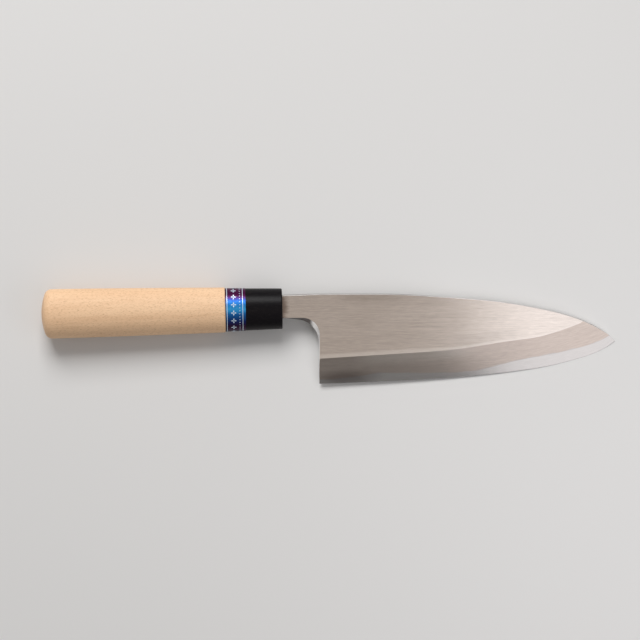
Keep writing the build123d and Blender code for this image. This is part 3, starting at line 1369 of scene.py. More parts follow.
@dataclass(frozen=True)
class Span:
    """How far a mark reaches by one reading.

    Attributes:
        reading: The reading.
        rise: The values between which the mark comes up.
        fall: The values between which it goes.
        wander: How far the drift moves both.
    """

    reading: Reading
    rise: Range | None = None
    fall: Range | None = None
    wander: float = 0.0

    def share(self, spot: Spot) -> Term:
        """Works out how much of the mark this span lets through.

        Args:
            spot: A point of the blade.

        Returns:
            From 0 to 1.
        """
        value = spot.readings[self.reading]
        if self.wander:
            value = value + spot.drift * self.wander
        if self.rise is None:
            return 1 - spot.sheet.ease(value, *self.fall)
        risen = spot.sheet.ease(value, *self.rise)
        return risen if self.fall is None else risen * (1 - spot.sheet.ease(value, *self.fall))


@dataclass(frozen=True)
class Mark:
    """A tint over the part of the blade where all of its spans overlap.

    Attributes:
        colour: The tint.
        strength: How much of it there is at most.
        spans: Where it lies.
    """

    colour: Colour
    strength: float
    spans: tuple[Span, ...]

    def lay(self, spot: Spot, tint: Term) -> Term:
        """Lays the mark over a tint.

        Args:
            spot: A point of the blade.
            tint: The tint there.

        Returns:
            The tint with it.
        """
        share = self.strength
        for span in self.spans:
            share = span.share(spot) * share
        return spot.sheet.blend(share, tint, self.colour)


@dataclass(frozen=True)
class RidgeLine:
    """A lighter line above the ridge, which thins out towards the tip.

    Attributes:
        colour: Its tint.
        strengths: How much of it there is, by the heel and by the tip.
        widths: Its widths there.
        thinning: The runs between which it changes.
        softness: Where it begins to go and is gone, in widths.
    """

    colour: Colour = (0.86, 0.83, 0.80)
    strengths: Range = (0.5, 0.08)
    widths: Range = (2.1, 0.8)
    thinning: Range = (60.0, 140.0)
    softness: Range = (0.6, 1.4)

    def lay(self, spot: Spot, tint: Term) -> Term:
        """Lays the line over a tint.

        Args:
            spot: A point of the blade.
            tint: The tint there.

        Returns:
            The tint with it.
        """
        thin = spot.sheet.ease(spot.readings[Reading.RUN], *self.thinning)
        width, strength = (
            near + thin * (far - near) for near, far in (self.widths, self.strengths)
        )
        away = spot.sheet.ease(spot.readings[Reading.ABOVE_RIDGE] / width, *self.softness)
        return spot.sheet.blend((1 - away) * strength, tint, self.colour)


@dataclass(frozen=True)
class DarkPatch:
    """A dark, cloudy spot on the bevel and the hard strip, near the edge by the heel.

    Attributes:
        colour: Its tint.
        strength: How much of it there is in the middle.
        middle: Its run, and its height above the edge.
        reach: Its half lengths along and across.
        softness: Where it begins to go and is gone, as shares of those.
        wander: How far the drift moves it.
    """

    colour: Colour = (0.10, 0.07, 0.065)
    strength: float = 0.56
    middle: Range = (35.0, 3.0)
    reach: Range = (24.0, 6.5)
    softness: Range = (0.15, 1.0)
    wander: float = 10.0

    def lay(self, spot: Spot, tint: Term) -> Term:
        """Lays the dark patch over a tint.

        Args:
            spot: A point of the blade.
            tint: The tint there.

        Returns:
            The tint with it.
        """
        along = spot.readings[Reading.RUN] + spot.drift * self.wander - self.middle[0]
        across = spot.readings[Reading.ABOVE_EDGE] - self.middle[1]
        away = spot.sheet.length(along / self.reach[0], across / self.reach[1])
        share = (1 - spot.sheet.ease(away, *self.softness)) * self.strength
        return spot.sheet.blend(share, tint, self.colour)


GREY = (0.16, 0.155, 0.15)
# Painted shade: a warm darkening of the face that grows towards the spine, over the rear part of
# the blade.
PAINTED_WARM_SHADE = Mark(
    (0.16, 0.135, 0.10),
    0.22,
    (Span(Reading.ACROSS, (1.0, 7.5)), Span(Reading.RUN, (24.0, 40.0), (52.0, 88.0))),
)
# Painted shade: the face is darkened towards the tip.
PAINTED_TIP_SHADE = Mark(GREY, 0.10, (Span(Reading.RUN, (138.0, 172.0)),))
# A grey darkening of the face in a band just above the ridge, in the middle of the blade.
DARK_BAND_ABOVE_RIDGE = Mark(
    GREY,
    0.11,
    (
        Span(Reading.ABOVE_RIDGE, (0.4, 2.0), (4.0, 9.0)),
        Span(Reading.RUN, (88.0, 106.0), (126.0, 140.0)),
    ),
)
# Painted shadow: the neck's face is darkened just in front of the ferrule, where the ferrule casts
# its shadow.
PAINTED_FERRULE_SHADOW = Mark(
    (0.12, 0.075, 0.055), 0.7, (Span(Reading.RUN, fall=(0.2, 4.4), wander=5.0),)
)
POLISHED_BEVEL = Mark(
    (0.86, 0.80, 0.73),
    0.28,
    (
        Span(Reading.RUN, (36.0, 54.0), (92.0, 112.0)),
        Span(Reading.BELOW_RIDGE, fall=(1.0, 8.0)),
    ),
)
SEAM_PASSAGE = Mark(
    (0.45, 0.435, 0.425), 0.8, (Span(Reading.ABOVE_SEAM, fall=(-0.1, 0.8), wander=1.6),)
)
# Painted highlight: the spine's walls are lightened towards the tip.
PAINTED_SPINE_HIGHLIGHT = Mark((0.90, 0.87, 0.85), 0.62, (Span(Reading.RUN, (64.0, 100.0)),))
# Painted shade: the choil's chamfer under the neck is darkened, up to the choil's curve.
PAINTED_NECK_SHADE = Mark((0.06, 0.045, 0.04), 0.94, (Span(Reading.RUN, fall=(15.0, 17.8), wander=1.5),))


class Direction(Enum):
    """Which way a finish's grinding lines run."""

    ALONG = "along the blade"
    ACROSS = "across the blade"
    EDGE = "beside the cutting edge"


@dataclass(frozen=True)
class GroundSteel(Coat):
    """Satin steel with the fine lines of a grinding belt.

    Attributes:
        direction: Which way its lines run.
        marks: What sets parts of the surface off from the rest, the lowest first.
        depth: Depth of the lines, for the bump.
        contrast: How much the layers of noise change the colour.
        levels: The colour's factors at the darkest and the lightest.
        coarser: How often broader lines change per fine line, along and across.
        broadest: The same of the bands.
        band_rise: How often the bands change per millimetre of level.
        weights: Shares of fine lines, lines, scratches, bands and clouds in the colour.
        swings: How much lines and clouds change the roughness.
    """

    axes = KNIFE
    colour: Colour
    roughness: float
    direction: Direction = Direction.ALONG
    marks: tuple[Mark | RidgeLine | DarkPatch, ...] = ()
    depth: float = 0.0007
    contrast: float = 0.50
    levels: Range = (0.6, 1.4)
    line_length: float = 55.0
    line_width: float = 0.17
    coarser: Range = (1.7, 0.3)
    broadest: Range = (2.0, 0.08)
    band_rise: float = 0.3
    scratch_length: float = 4.5
    scratch_width: float = 0.6
    clouds: Pattern = Pattern((0.05, 0.09, 0.09), 3.0)
    weights: tuple[float, ...] = (0.16, 0.28, 0.36, 0.10, 0.10)
    swings: Range = (0.05, 0.04)

    def patterns(self) -> list[Pattern]:
        """Lays the layers of noise as the grinding runs.

        Returns:
            Fine lines, lines, scratches, bands and clouds.
        """
        long, fine = 1 / self.line_length, 1 / self.line_width
        short, narrow = 1 / self.scratch_length, 1 / self.scratch_width
        line = (long * self.coarser[0], fine * self.coarser[1])
        band = (long * self.broadest[0], fine * self.broadest[1])
        if self.direction is Direction.ACROSS:
            return [
                Pattern((fine, long, long), 3.0),
                Pattern((line[1], line[0], long)),
                Pattern((narrow, short, narrow)),
                Pattern((band[1], band[0], long)),
                self.clouds,
            ]
        return [
            Pattern((long, fine, fine), 3.0),
            Pattern((line[0], line[1], line[1])),
            Pattern((short, narrow, narrow)),
            Pattern((band[0], band[1], self.band_rise)),
            self.clouds,
        ]

    def sockets(self, sheet: Sheet, place: Term) -> dict[str, Term | float]:
        """Works the shader's inputs out."""
        ground = place
        if self.direction is Direction.EDGE:
            run, above_edge, _ = sheet.uv_map("Grain")
            ground = sheet.join(run / MM, above_edge / MM, 0.0)
        layers = [pattern.on(sheet, ground) for pattern in self.patterns()]
        shade = layers[0] * self.weights[0]
        for layer, weight in zip(layers[1:], self.weights[1:]):
            shade = shade + layer * weight
        dark, light = (tuple(part * level for part in self.colour) for level in self.levels)
        tint = sheet.blend(0.5 + (shade - 0.5) * (self.contrast * 2), dark, light)
        if self.marks:
            spot = Spot(sheet, place)
            for mark in self.marks:
                tint = mark.lay(spot, tint)
        fine_lines, lines, _, _, clouds = layers
        swing = (lines - 0.5) * self.swings[0] + (clouds - 0.5) * self.swings[1]
        return {
            "Base Color": tint,
            "Roughness": self.roughness + swing,
            "Normal": sheet.bump(fine_lines + lines * 2, 1.0, self.depth),
            "Metallic": 1.0,
        }


@dataclass(frozen=True)
class PaleWood(Coat):
    """Bare magnolia with its growth rings, fibres and fine vessels.

    Attributes:
        heart: Where the tree's heart was, across and above the handle's axis.
        ring_drift: How far the rings wander.
        late_wood: Where the darker part of a ring begins and is full, as shares of it.
        dashes: What the vessels are cut from.
        vessel_cut: The dashes' values between which a vessel comes up.
    """

    name: str = "grip_magnolia"
    pale: Colour = (0.88, 0.605, 0.38)
    deep: Colour = (0.65, 0.375, 0.20)
    vessel: Colour = (0.38, 0.205, 0.10)
    roughness: float = 0.58
    depth: float = 0.03
    heart: Range = (-34.0, -62.0)
    ring_spacing: float = 3.4
    ring_drift: float = 5.0
    late_wood: Range = (0.35, 0.97)
    wander: Pattern = Pattern((0.006, 0.03, 0.03))
    fibres: Pattern = Pattern((0.05, 3.2, 3.2), 3.0)
    streaks: Pattern = Pattern((0.02, 0.7, 0.7))
    clouds: Pattern = Pattern((0.02, 0.08, 0.08))
    dashes: Pattern = Pattern((0.7, 4.6, 4.6), 1.0)
    vessel_cut: Range = (0.56, 0.68)

    def sockets(self, sheet: Sheet, place: Term) -> dict[str, Term | float]:
        """Works the shader's inputs out."""
        _, across, up = sheet.split(place)
        radius = sheet.length(across - self.heart[0], up - self.heart[1])
        radius = radius + self.wander.on(sheet, place) * self.ring_drift
        year = sheet.maths("FRACT", radius / self.ring_spacing)
        late = sheet.ease(year, *self.late_wood) * (1 - sheet.ease(year, self.late_wood[1], 1.0))
        fibres = self.fibres.on(sheet, place)
        streaks = self.streaks.on(sheet, place)
        clouds = self.clouds.on(sheet, place)
        vessels = sheet.ease(self.dashes.on(sheet, place), *self.vessel_cut)
        depth = late * 0.10 + (fibres - 0.5) * 0.6 + (streaks - 0.5) * 0.4 + clouds * 0.45
        tint = sheet.blend(sheet.maths("ADD", depth, 0.0, clamp=True), self.pale, self.deep)
        relief = fibres * 0.5 - vessels * 1.2 - late * 0.3
        return {
            "Base Color": sheet.blend(vessels * 0.5, tint, self.vessel),
            "Roughness": self.roughness + (fibres - 0.5) * 0.12 + vessels * 0.15,
            "Normal": sheet.bump(relief, 0.6, self.depth),
            "Specular IOR Level": 0.35,
        }


@dataclass(frozen=True)
class BlackResin(Coat):
    """Moulded black resin with half a gloss, worn a little by handling.

    Attributes:
        rub_cut: The values of the rubs between which the worn colour comes up.
    """

    name: str = "ferrule_black_resin"
    colour: Colour = (0.006, 0.005, 0.006)
    worn: Colour = (0.014, 0.012, 0.012)
    roughness: float = 0.30
    depth: float = 0.012
    clouds: Pattern = Pattern((0.12, 0.2, 0.2), 3.0)
    grain: Pattern = Pattern((4.0, 4.0, 4.0))
    rubs: Pattern = Pattern((0.5, 2.2, 2.2), 3.0)
    rub_cut: Range = (0.50, 0.80)

    def sockets(self, sheet: Sheet, place: Term) -> dict[str, Term | float]:
        """Works the shader's inputs out."""
        clouds = self.clouds.on(sheet, place)
        rubs = self.rubs.on(sheet, place)
        relief = self.grain.on(sheet, place) + rubs
        return {
            "Base Color": sheet.blend(sheet.ease(rubs, *self.rub_cut), self.colour, self.worn),
            "Roughness": self.roughness + (clouds - 0.5) * 0.16 + (rubs - 0.5) * 0.10,
            "Normal": sheet.bump(relief, 0.2, self.depth),
            "Specular IOR Level": 0.095,
        }


@dataclass(frozen=True)
class TintedFilm(Coat):
    """Metallised film whose colour runs from violet to blue and back round the ferrule, with
    painted shade on its flank towards the edge.

    Attributes:
        upper_turns: Where its colours lie, as shares of a turn from the spine's side.
        under_turns: The same on the underside.
        border: The tint along both of its edges.
        border_cut: Where that begins and is full, as shares of the width from the middle.
        glint: The tint of its shimmer.
        glint_cut: The shimmer's values between which that comes up.
    """

    name: str = "band_tinted_film"
    roughness: float = 0.34
    depth: float = 0.02
    plum: Colour = (0.080, 0.005, 0.055)
    indigo: Colour = (0.014, 0.030, 0.16)
    blue: Colour = (0.012, 0.15, 0.47)
    azure: Colour = (0.048, 0.43, 0.90)
    # painted_flank_shade is painted shade on the band's flank towards the edge; the other colours
    # are the film's own.
    painted_flank_shade: Colour = (0.030, 0.004, 0.030)
    upper_turns: tuple[float, ...] = (0.0, 0.13, 0.163, 0.198, 0.236, 0.275, 0.335, 0.375)
    under_turns: tuple[float, ...] = (0.62, 0.65, 0.70, 0.76, 0.81, 0.85, 0.88, 1.0)
    border: Colour = (0.012, 0.016, 0.06)
    border_cut: Range = (0.40, 0.49)
    glint: Colour = (0.35, 0.6, 0.95)
    glint_cut: Range = (0.55, 0.8)
    ripple: Pattern = Pattern((1.2, 0.5, 0.5), 3.0)
    shimmer: Pattern = Pattern((6.0, 6.0, 6.0))

    def stops(self) -> list[tuple[float, Colour]]:
        """Runs the colours from plum to the painted shade on the upper side, and back on the
        underside.

        Returns:
            The ramp's stops.
        """
        way = [self.plum, self.plum, self.indigo, self.blue, self.azure, self.blue, self.indigo]
        colours = [*way, self.painted_flank_shade, self.painted_flank_shade, *way[::-1]]
        return [*zip((*self.upper_turns, *self.under_turns), colours)]

    def sockets(self, sheet: Sheet, place: Term) -> dict[str, Term | float]:
        """Works the shader's inputs out."""
        around, along, _ = sheet.uv_map("Film")
        ripple = self.ripple.on(sheet, place)
        shimmer = self.shimmer.on(sheet, place)
        turn = around + (ripple - 0.5) * 0.03
        tint = sheet.node("ShaderNodeValToRGB", {"stops": self.stops()}, {0: turn})
        border = sheet.ease(sheet.maths("ABSOLUTE", along - 0.5), *self.border_cut)
        tint = sheet.blend(border * 0.75, tint, self.border)
        glint = sheet.ease(shimmer, *self.glint_cut) * 0.10
        return {
            "Base Color": sheet.blend(glint, tint, self.glint),
            "Roughness": self.roughness + (shimmer - 0.5) * 0.2,
            "Normal": sheet.bump(ripple + shimmer * 0.5, 0.5, self.depth),
            "Metallic": 0.85,
        }


@dataclass(frozen=True)
class SilverPrint(Coat):
    """The bright foil that the film's lines and ornaments are stamped in."""

    name: str = "band_silver_stamp"
    cool: Colour = (0.50, 0.68, 0.86)
    bright: Colour = (0.80, 0.88, 0.93)
    roughness: float = 0.32
    flakes: Pattern = Pattern((2.5, 2.5, 2.5))

    def sockets(self, sheet: Sheet, place: Term) -> dict[str, Term | float]:
        """Works the shader's inputs out."""
        flakes = self.flakes.on(sheet, place)
        return {
            "Base Color": sheet.blend(flakes, self.cool, self.bright),
            "Roughness": self.roughness + (flakes - 0.5) * 0.2,
            "Metallic": 0.3,
        }


@dataclass(frozen=True)
class CuredResin(Coat):
    """The adhesive round the tang."""

    name: str = "bedding_cured_resin"
    dark: Colour = (0.10, 0.055, 0.03)
    light: Colour = (0.20, 0.12, 0.07)
    roughness: float = 0.35
    clouds: Pattern = Pattern((0.4, 0.4, 0.4), 3.0)

    def sockets(self, sheet: Sheet, place: Term) -> dict[str, Term | float]:
        """Works the shader's inputs out."""
        clouds = self.clouds.on(sheet, place)
        return {
            "Base Color": sheet.blend(clouds, self.dark, self.light),
            "Roughness": self.roughness + clouds * 0.2,
        }


STEELS = {
    Finish.FACE: GroundSteel(
        "steel_upper_face",
        (0.59, 0.543, 0.505),
        0.225,
        marks=(RidgeLine(), PAINTED_WARM_SHADE, PAINTED_TIP_SHADE, DARK_BAND_ABOVE_RIDGE, PAINTED_FERRULE_SHADOW),
    ),
    Finish.BEVEL: GroundSteel(
        "steel_bevel",
        (0.47, 0.402, 0.355),
        0.21,
        Direction.EDGE,
        marks=(POLISHED_BEVEL, SEAM_PASSAGE, DarkPatch()),
    ),
    Finish.HARD: GroundSteel(
        "steel_hard_strip",
        (0.51, 0.485, 0.465),
        0.17,
        Direction.EDGE,
        marks=(DarkPatch(),),
        depth=0.0006,
        contrast=0.22,
    ),
    Finish.CHOIL: GroundSteel(
        "steel_polished_choil",
        (0.97, 0.955, 0.94),
        0.18,
        marks=(PAINTED_NECK_SHADE,),
        depth=0.0004,
        contrast=0.04,
    ),
    Finish.SPINE: GroundSteel(
        "steel_spine",
        (0.42, 0.40, 0.385),
        0.38,
        Direction.ACROSS,
        marks=(PAINTED_SPINE_HIGHLIGHT,),
        contrast=0.24,
    ),
    Finish.RIM: GroundSteel("steel_back_rim", (0.66, 0.64, 0.62), 0.24, contrast=0.06),
    Finish.HOLLOW: GroundSteel(
        "steel_back_hollow", (0.58, 0.56, 0.54), 0.38, Direction.ACROSS, contrast=0.24
    ),
}


# The handle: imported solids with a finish, and the film made anew


@dataclass
class Handle:
    """Grip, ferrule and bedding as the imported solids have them."""

    grip: PaleWood = PaleWood()
    ferrule: BlackResin = BlackResin()
    bedding: CuredResin = CuredResin()

    def dress(self, nodes: dict[str, bpy.types.Object]) -> None:
        """Gives each solid its finish.

        Args:
            nodes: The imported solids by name.
        """
        for name, finish in (
            ("handle_grip", self.grip),
            ("ferrule", self.ferrule),
            ("tang_bedding", self.bedding),
        ):
            material = finish.material()
            for slot in nodes[name].material_slots:
                slot.link = "OBJECT"
                slot.material = material
            LOG.info("node %s keeps its solid in %s", name, material.name)


class Growth(Sheet):
    """A Geometry Nodes tree with named inputs, whose result is kept as a plain mesh."""

    def __init__(self, name: str, inputs: dict[str, float]) -> None:
        """Starts an empty tree.

        Args:
            name: The tree's name.
            inputs: The default of each input. A whole number makes it a count.
        """
        super().__init__(bpy.data.node_groups.new(name, "GeometryNodeTree"))
        face = self.tree.interface
        face.new_socket("Geometry", in_out="OUTPUT", socket_type="NodeSocketGeometry")
        for title, value in inputs.items():
            kind = "NodeSocketInt" if isinstance(value, int) else "NodeSocketFloat"
            face.new_socket(title, in_out="INPUT", socket_type=kind).default_value = value
        first = self.add("NodeGroupInput")
        self.given = {title: self.output(first, title) for title in inputs}

    def position(self) -> list[Term]:
        """The three parts of a point's place."""
        return self.split(self.node("GeometryNodeInputPosition"))

    def moved(self, geometry: Term, place: Term) -> Term:
        """A geometry with its points at other places."""
        sockets = {"Geometry": geometry, "Position": place}
        return self.node("GeometryNodeSetPosition", sockets=sockets)

    def scaled(self, geometry: Term, scale: Term | Sequence[float]) -> Term:
        """A geometry in another size."""
        return self.node("GeometryNodeTransform", sockets={"Geometry": geometry, "Scale": scale})

    def finish(self, geometry: Term, material: bpy.types.Material) -> None:
        """Ends the tree in Realize Instances and Set Material.

        Args:
            geometry: The tree's result.
            material: Its finish.
        """
        real = self.node("GeometryNodeRealizeInstances", sockets={"Geometry": geometry})
        sockets = {"Geometry": real, "Material": material}
        self.add("NodeGroupOutput", sockets={0: self.node("GeometryNodeSetMaterial", {}, sockets)})

    def mesh(self, name: str, values: dict[str, float]) -> bpy.types.Object:
        """Runs the tree and keeps its result as a closed, plain mesh.

        Args:
            name: The new object's name.
            values: The inputs by name.

        Returns:
            An object in the lying frame.
        """
        piece = bpy.data.objects.new(name, bpy.data.meshes.new(name))
        bpy.context.scene.collection.objects.link(piece)
        modifier = piece.modifiers.new(name, "NODES")
        modifier.node_group = self.tree
        for item in self.tree.interface.items_tree:
            if item.in_out == "INPUT" and item.name in values:
                modifier[item.identifier] = values[item.name]
        graph = bpy.context.evaluated_depsgraph_get()
        made = bpy.data.meshes.new_from_object(piece.evaluated_get(graph), depsgraph=graph)
        piece.modifiers.clear()
        piece.data = made
        made.transform(HANDLE.matrix)
        bm = bmesh.new()
        bm.from_mesh(made)
        face_outwards(bm)
        bm.to_mesh(made)
        bm.free()
        return piece


class Motif(Enum):
    """What a row round the ferrule is made of. The value is the tree's Petals input."""

    FLOWER = 1.0
    BEAD = 0.0


@dataclass(frozen=True)
class Row:
    """A row of silver ornaments round the ferrule.

    Attributes:
        run: Its distance behind the ferrule's front.
        count: How many ornaments it has.
        size: Their size.
    """

    name: str
    motif: Motif
    run: float
    count: int
    size: float


@dataclass
class FoilBand:
    """The film round the ferrule, with its silver lines and rows of ornaments.

    Runs are counted back from the ferrule's front.

    Attributes:
        film_rear: Run of the film's rear end.
        film_thickness: How far its outside stands above the ferrule.
        film_sunk: How far its inside lies in the ferrule.
        print_lift: How far the silver lines stand above the film.
        lines: Names and runs of the lines.
        ornament_height: Height of an ornament, half of it sunk in the film.
        petal_shape: A petal's sizes as factors of a diamond that is 1 mm long.
        petal_place: How far a petal lies from the flower's middle.
        around: Steps round the ferrule.
        crease: The angle in degrees from which a sleeve's edge stays crisp.
    """

    front_half_width: float = 11.3
    front_half_thickness: float = 9.0
    rear_half_width: float = 12.0
    rear_half_thickness: float = 9.6
    ferrule_length: float = 31.7
    film_rear: float = 31.4
    film_width: float = 11.0
    film_thickness: float = 0.12
    film_sunk: float = 0.02
    print_lift: float = 0.02
    line_width: float = 0.3
    lines: tuple[tuple[str, float], ...] = (("foil_line_front", 21.9), ("foil_line_rear", 30.6))
    rows: tuple[Row, ...] = (
        Row("foil_flowers", Motif.FLOWER, 27.1, 15, 1.55),
        Row("foil_beads", Motif.BEAD, 23.7, 40, 0.55),
    )
    ornament_height: float = 0.16
    petal_shape: tuple[float, float, float] = (0.92, 0.5, 1.0)
    petal_place: float = 0.56
    heart_shape: tuple[float, float, float] = (0.3, 0.3, 1.0)
    bead_shape: tuple[float, float, float] = (1.5, 0.75, 1.0)
    around: int = 192
    crease: float = 40.0

    @property
    def swell(self) -> Range:
        """How fast the ferrule's half width and half thickness grow to the rear."""
        return (
            (self.rear_half_width - self.front_half_width) / self.ferrule_length,
            (self.rear_half_thickness - self.front_half_thickness) / self.ferrule_length,
        )

    def build(self, film: bpy.types.Material, silver: bpy.types.Material) -> None:
        """Makes the film, its lines and its ornaments.

        Args:
            film: The film's finish.
            silver: The finish of the lines and the ornaments.
        """
        front = self.film_rear - self.film_width
        values = self._sleeve_values(
            front, self.film_width, (-self.film_sunk, self.film_thickness)
        )
        sleeve = self._sleeve_tree("ferrule_sleeve", values, film)
        body = self._sleeve("foil_film", sleeve, values)
        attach(body, "root")
        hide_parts("foil_band")
        LOG.info("piece %s stands for foil_band", body.name)
        walls = (self.film_thickness / 2, self.film_thickness + self.print_lift)
        sizes = [self._sleeve_values(run, self.line_width, walls) for _, run in self.lines]
        line = self._sleeve_tree("ferrule_line", sizes[0], silver)
        printed = [
            self._sleeve(name, line, values) for (name, _), values in zip(self.lines, sizes)
        ]
        sizes = [self._row_values(row) for row in self.rows]
        ornaments = self._ornament_tree("ferrule_ornaments", sizes[0], silver)
        printed += [ornaments.mesh(row.name, values) for row, values in zip(self.rows, sizes)]
        for piece in printed:
            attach(piece, "root")
            LOG.info("piece %s", piece.name)

    def _sleeve_values(self, front: float, length: float, walls: Range) -> dict[str, float]:
        """The inputs of a sleeve's tree.

        Args:
            front: Run of its front end.
            length: How far it reaches back.
            walls: How far its inner and its outer wall stand above the ferrule.

        Returns:
            The values by input.
        """
        return {
            "Front Run": front,
            "Length": length,
            "Inner Growth": walls[0],
            "Outer Growth": walls[1],
            "Half Width": self.front_half_width,
            "Half Thickness": self.front_half_thickness,
            "Width Swell": self.swell[0],
            "Thickness Swell": self.swell[1],
            "Steps": self.around,
        }

    @staticmethod
    def _sleeve_tree(
        name: str, inputs: dict[str, float], material: bpy.types.Material
    ) -> Growth:
        """A thin sleeve: a grid of four corners by many steps, bent round the oval.

        Args:
            name: The tree's name.
            inputs: The defaults of its inputs.
            material: The sleeve's finish.

        Returns:
            The tree.
        """
        tree = Growth(name, inputs)
        given = tree.given
        corners = 4
        counts = {"Vertices X": given["Steps"] + 1.0, "Vertices Y": corners + 1}
        grid = tree.add("GeometryNodeMeshGrid", {}, {"Size X": 1.0, "Size Y": 1.0, **counts})
        plain, uv = tree.output(grid, "Mesh"), tree.output(grid, "UV Map")
        stored = tree.node(
            "GeometryNodeStoreNamedAttribute",
            {"data_type": "FLOAT2", "domain": "CORNER"},
            {"Geometry": plain, "Name": "Film", "Value": uv},
        )
        x, y, _ = tree.position()
        angle = (x + 0.5) * (2 * math.pi)
        corner = (y + 0.5) * corners
        is_rear = (corner > 1.5) * (corner < 3.5)
        is_outer = (corner > 0.5) * (corner < 2.5)
        run = given["Front Run"] + given["Length"] * is_rear
        growth = given["Inner Growth"] + (given["Outer Growth"] - given["Inner Growth"]) * is_outer
        width = given["Half Width"] + given["Width Swell"] * run + growth
        thickness = given["Half Thickness"] + given["Thickness Swell"] * run + growth
        across, up = tree.maths("COSINE", angle) * width, tree.maths("SINE", angle) * thickness
        bent = tree.moved(stored, tree.join(0.0 - run, across, up))
        closed = tree.node(
            "GeometryNodeMergeByDistance", sockets={"Geometry": bent, "Distance": 0.0005}
        )
        tree.finish(closed, material)
        return tree

    def _sleeve(self, name: str, tree: Growth, values: dict[str, float]) -> bpy.types.Object:
        """Makes one sleeve, shaded smooth but for its edges.

        Args:
            name: The piece's name.
            tree: The sleeves' tree.
            values: Its inputs by name.

        Returns:
            The piece.
        """
        piece = tree.mesh(name, values)
        piece.data.shade_smooth()
        piece.data.set_sharp_from_angle(angle=math.radians(self.crease))
        return piece

    def _row_values(self, row: Row) -> dict[str, float]:
        """The inputs of the ornaments' tree.

        Args:
            row: The row.

        Returns:
            The values by input.
        """
        return {
            "Run": row.run,
            "Half Width": self.front_half_width + self.swell[0] * row.run + self.film_thickness,
            "Half Thickness": (
                self.front_half_thickness + self.swell[1] * row.run + self.film_thickness
            ),
            "Count": row.count,
            "Size": row.size,
            "Petals": row.motif.value,
            "Width Swell": self.swell[0],
            "Height": self.ornament_height,
        }

    def _ornament_tree(
        self, name: str, inputs: dict[str, float], material: bpy.types.Material
    ) -> Growth:
        """A row of ornaments at even distances round the oval.

        Args:
            name: The tree's name.
            inputs: The defaults of its inputs.
            material: The ornaments' finish.

        Returns:
            The tree.
        """
        tree = Growth(name, inputs)
        given = tree.given
        circle = {"Resolution": 256, "Radius": 1.0}
        ring = tree.node("GeometryNodeCurvePrimitiveCircle", {"mode": "RADIUS"}, circle)
        oval = tree.scaled(ring, tree.join(given["Half Width"], given["Half Thickness"], 1.0))
        even = {"Curve": oval, "Count": given["Count"]}
        points = tree.node("GeometryNodeCurveToPoints", {"mode": "COUNT"}, even)
        x, y, _ = tree.position()
        placed = tree.moved(points, tree.join(0.0 - given["Run"], x, y))
        sockets = {
            "Points": placed,
            "Instance": self._motif(tree),
            "Rotation": self._stance(tree),
            "Scale": tree.join(given["Size"], given["Size"], 1.0),
        }
        tree.finish(tree.node("GeometryNodeInstanceOnPoints", sockets=sockets), material)
        return tree

    @staticmethod
    def _stance(tree: Growth) -> Term:
        """Stands the ornaments on the ferrule, with their length along the handle.

        Args:
            tree: The ornaments' tree.

        Returns:
            The turn at each point.
        """
        given = tree.given
        _, across, up = tree.position()
        outward = tree.join(
            given["Width Swell"] / given["Half Width"],
            across / (given["Half Width"] * given["Half Width"]),
            up / (given["Half Thickness"] * given["Half Thickness"]),
        )
        upright = tree.node(
            "FunctionNodeAlignRotationToVector",
            {"axis": "Z"},
            {"Vector": tree.vector("NORMALIZE", outward)},
        )
        return tree.node(
            "FunctionNodeAlignRotationToVector",
            {"axis": "X", "pivot_axis": "Z"},
            {"Rotation": upright, "Vector": (1.0, 0.0, 0.0)},
        )

    def _motif(self, tree: Growth) -> Term:
        """Makes one ornament of size 1.

        Args:
            tree: The ornaments' tree.

        Returns:
            A flower of four petals, or a bead.
        """
        sizes = {"Radius": 0.5, "Depth": tree.given["Height"]}
        counts = {"Vertices": 4, "Side Segments": 1, "Fill Segments": 1}
        diamond = tree.node("GeometryNodeMeshCylinder", {"fill_type": "NGON"}, {**counts, **sizes})
        spots = {"Vertices": 4, "Radius": self.petal_place}
        quarter = tree.node("GeometryNodeInputIndex") * (math.pi / 2)
        turn = tree.node("FunctionNodeEulerToRotation", {}, {0: tree.join(0.0, 0.0, quarter)})
        sockets = {
            "Points": tree.node("GeometryNodeMeshCircle", {}, spots),
            "Instance": tree.scaled(diamond, self.petal_shape),
            "Rotation": turn,
        }
        petals = tree.node("GeometryNodeInstanceOnPoints", {}, sockets)
        heart = tree.scaled(diamond, self.heart_shape)
        flower = tree.node("GeometryNodeJoinGeometry", {}, {0: [petals, heart]})
        bead = tree.scaled(diamond, self.bead_shape)
        choice = {"Switch": tree.given["Petals"] > 0.5, "False": bead, "True": flower}
        return tree.node("GeometryNodeSwitch", {"input_type": "GEOMETRY"}, choice)


# Studio


@dataclass(frozen=True)
class Softbox:
    """A soft area lamp, placed in metres.

    Attributes:
        size: Its sides.
        twist: Its turn about its own aim, in degrees.
        drop: True to aim it straight down instead of at the knife's middle.
    """

    name: str
    place: tuple[float, float, float]
    size: Range
    watts: float
    colour: Colour = (1.0, 1.0, 1.0)
    twist: float = 0.0
    drop: bool = False

    def build(self) -> None:
        """Adds the lamp."""
        lamp = bpy.data.lights.new(self.name, "AREA")
        lamp.shape = "RECTANGLE"
        lamp.size, lamp.size_y = self.size
        lamp.energy = self.watts
        lamp.color = self.colour
        held = bpy.data.objects.new(self.name, lamp)
        held.location = self.place
        look = Vector((0.0, 0.0, -1.0)) if self.drop else -Vector(self.place)
        turn = look.to_track_quat("-Z", "Y") @ Quaternion((0, 0, 1), math.radians(self.twist))
        held.rotation_euler = turn.to_euler()
        held.visible_camera = False
        bpy.context.scene.collection.objects.link(held)


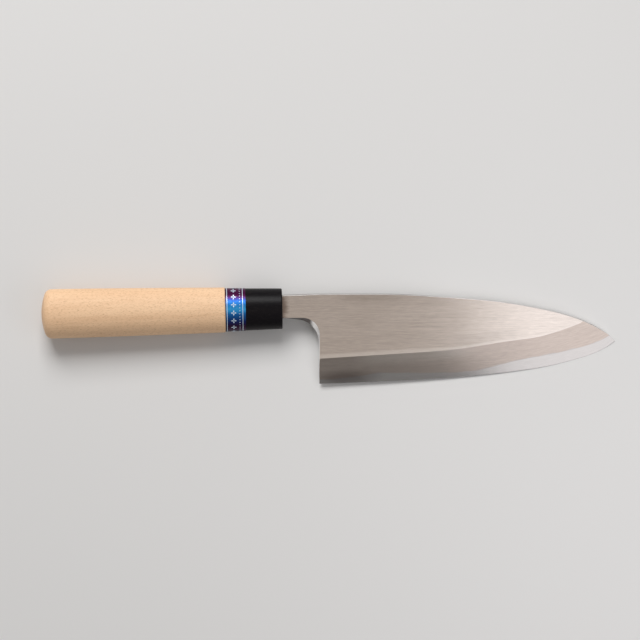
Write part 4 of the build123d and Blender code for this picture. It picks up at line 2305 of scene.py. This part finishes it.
@dataclass
class Studio:
    """Pale floor, soft lamps and a camera that looks straight down, in metres.

    Attributes:
        floor_half: Half the floor's side.
        camera_place: Where the camera hangs, above the middle of the picture.
        half_view: Half its angle of view, in degrees.
        sensor: Width of its sensor, in millimetres.
    """

    floor_colour: Colour = (0.70, 0.69, 0.68)
    floor_half: float = 6.0
    world_colour: Colour = (0.30, 0.30, 0.30)
    camera_place: tuple[float, float, float] = (-0.0046, 0.0083, 4.0115)
    half_view: float = 2.5456
    sensor: float = 36.0
    lamps: tuple[Softbox, ...] = (
        Softbox("key", (-0.38, 1.24, 1.30), (1.0, 0.9), 28.5),
        Softbox(
            "tip_side",
            (0.2475, -0.15, 0.32),
            (0.24, 0.36),
            0.308,
            (0.955, 0.955, 1.0),
            twist=5.0,
            drop=True,
        ),
        Softbox("top_fill", (0.06, -0.25, 1.20), (0.70, 0.50), 0.34, (1.0, 0.80, 0.64), drop=True),
    )

    def build(self) -> None:
        """Sets the stage."""
        self._floor()
        self._world()
        for lamp in self.lamps:
            lamp.build()
        self._camera()
        bpy.context.scene.view_settings.view_transform = "Standard"

    def _floor(self) -> None:
        """A wide plain floor under the knife."""
        half = self.floor_half
        mesh = bpy.data.meshes.new("floor")
        corners = [(-half, -half, 0), (half, -half, 0), (half, half, 0), (-half, half, 0)]
        mesh.from_pydata(corners, [], [(0, 1, 2, 3)])
        material, sheet, shader = new_sheet("floor_paper")
        colour = (*self.floor_colour, 1.0)
        sockets = {"Base Color": colour, "Roughness": 0.9, "Specular IOR Level": 0.2}
        sheet.feed(shader, sockets)
        mesh.materials.append(material)
        floor = bpy.data.objects.new("floor", mesh)
        bpy.context.scene.collection.objects.link(floor)

    def _world(self) -> None:
        """A plain grey sky."""
        world = bpy.data.worlds.new("studio")
        world.use_nodes = True
        sheet = Sheet(world.node_tree)
        ground = world.node_tree.nodes["Background"]
        sheet.feed(ground, {"Color": (*self.world_colour, 1.0)})
        bpy.context.scene.world = world

    def _camera(self) -> None:
        """The camera, above the middle of the picture."""
        lens = bpy.data.cameras.new("camera")
        lens.sensor_width = self.sensor
        lens.lens = self.sensor / 2 / math.tan(math.radians(self.half_view))
        lens.clip_start = 0.01
        camera = bpy.data.objects.new("camera", lens)
        camera.location = self.camera_place
        bpy.context.scene.collection.objects.link(camera)
        bpy.context.scene.camera = camera


def clear_scene() -> None:
    """Empties the start-up scene."""
    for thing in list(bpy.data.objects):
        bpy.data.objects.remove(thing)


def main() -> None:
    """Builds everything in order."""
    logging.basicConfig(level=logging.INFO, format="%(message)s")
    clear_scene()
    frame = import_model()
    Studio().build()
    Blade().build({finish: steel.material() for finish, steel in STEELS.items()})
    Handle().dress(frame["nodes"])
    FoilBand().build(TintedFilm().material(), SilverPrint().material())
    bpy.context.view_layer.update()


if __name__ == "__main__":
    main()
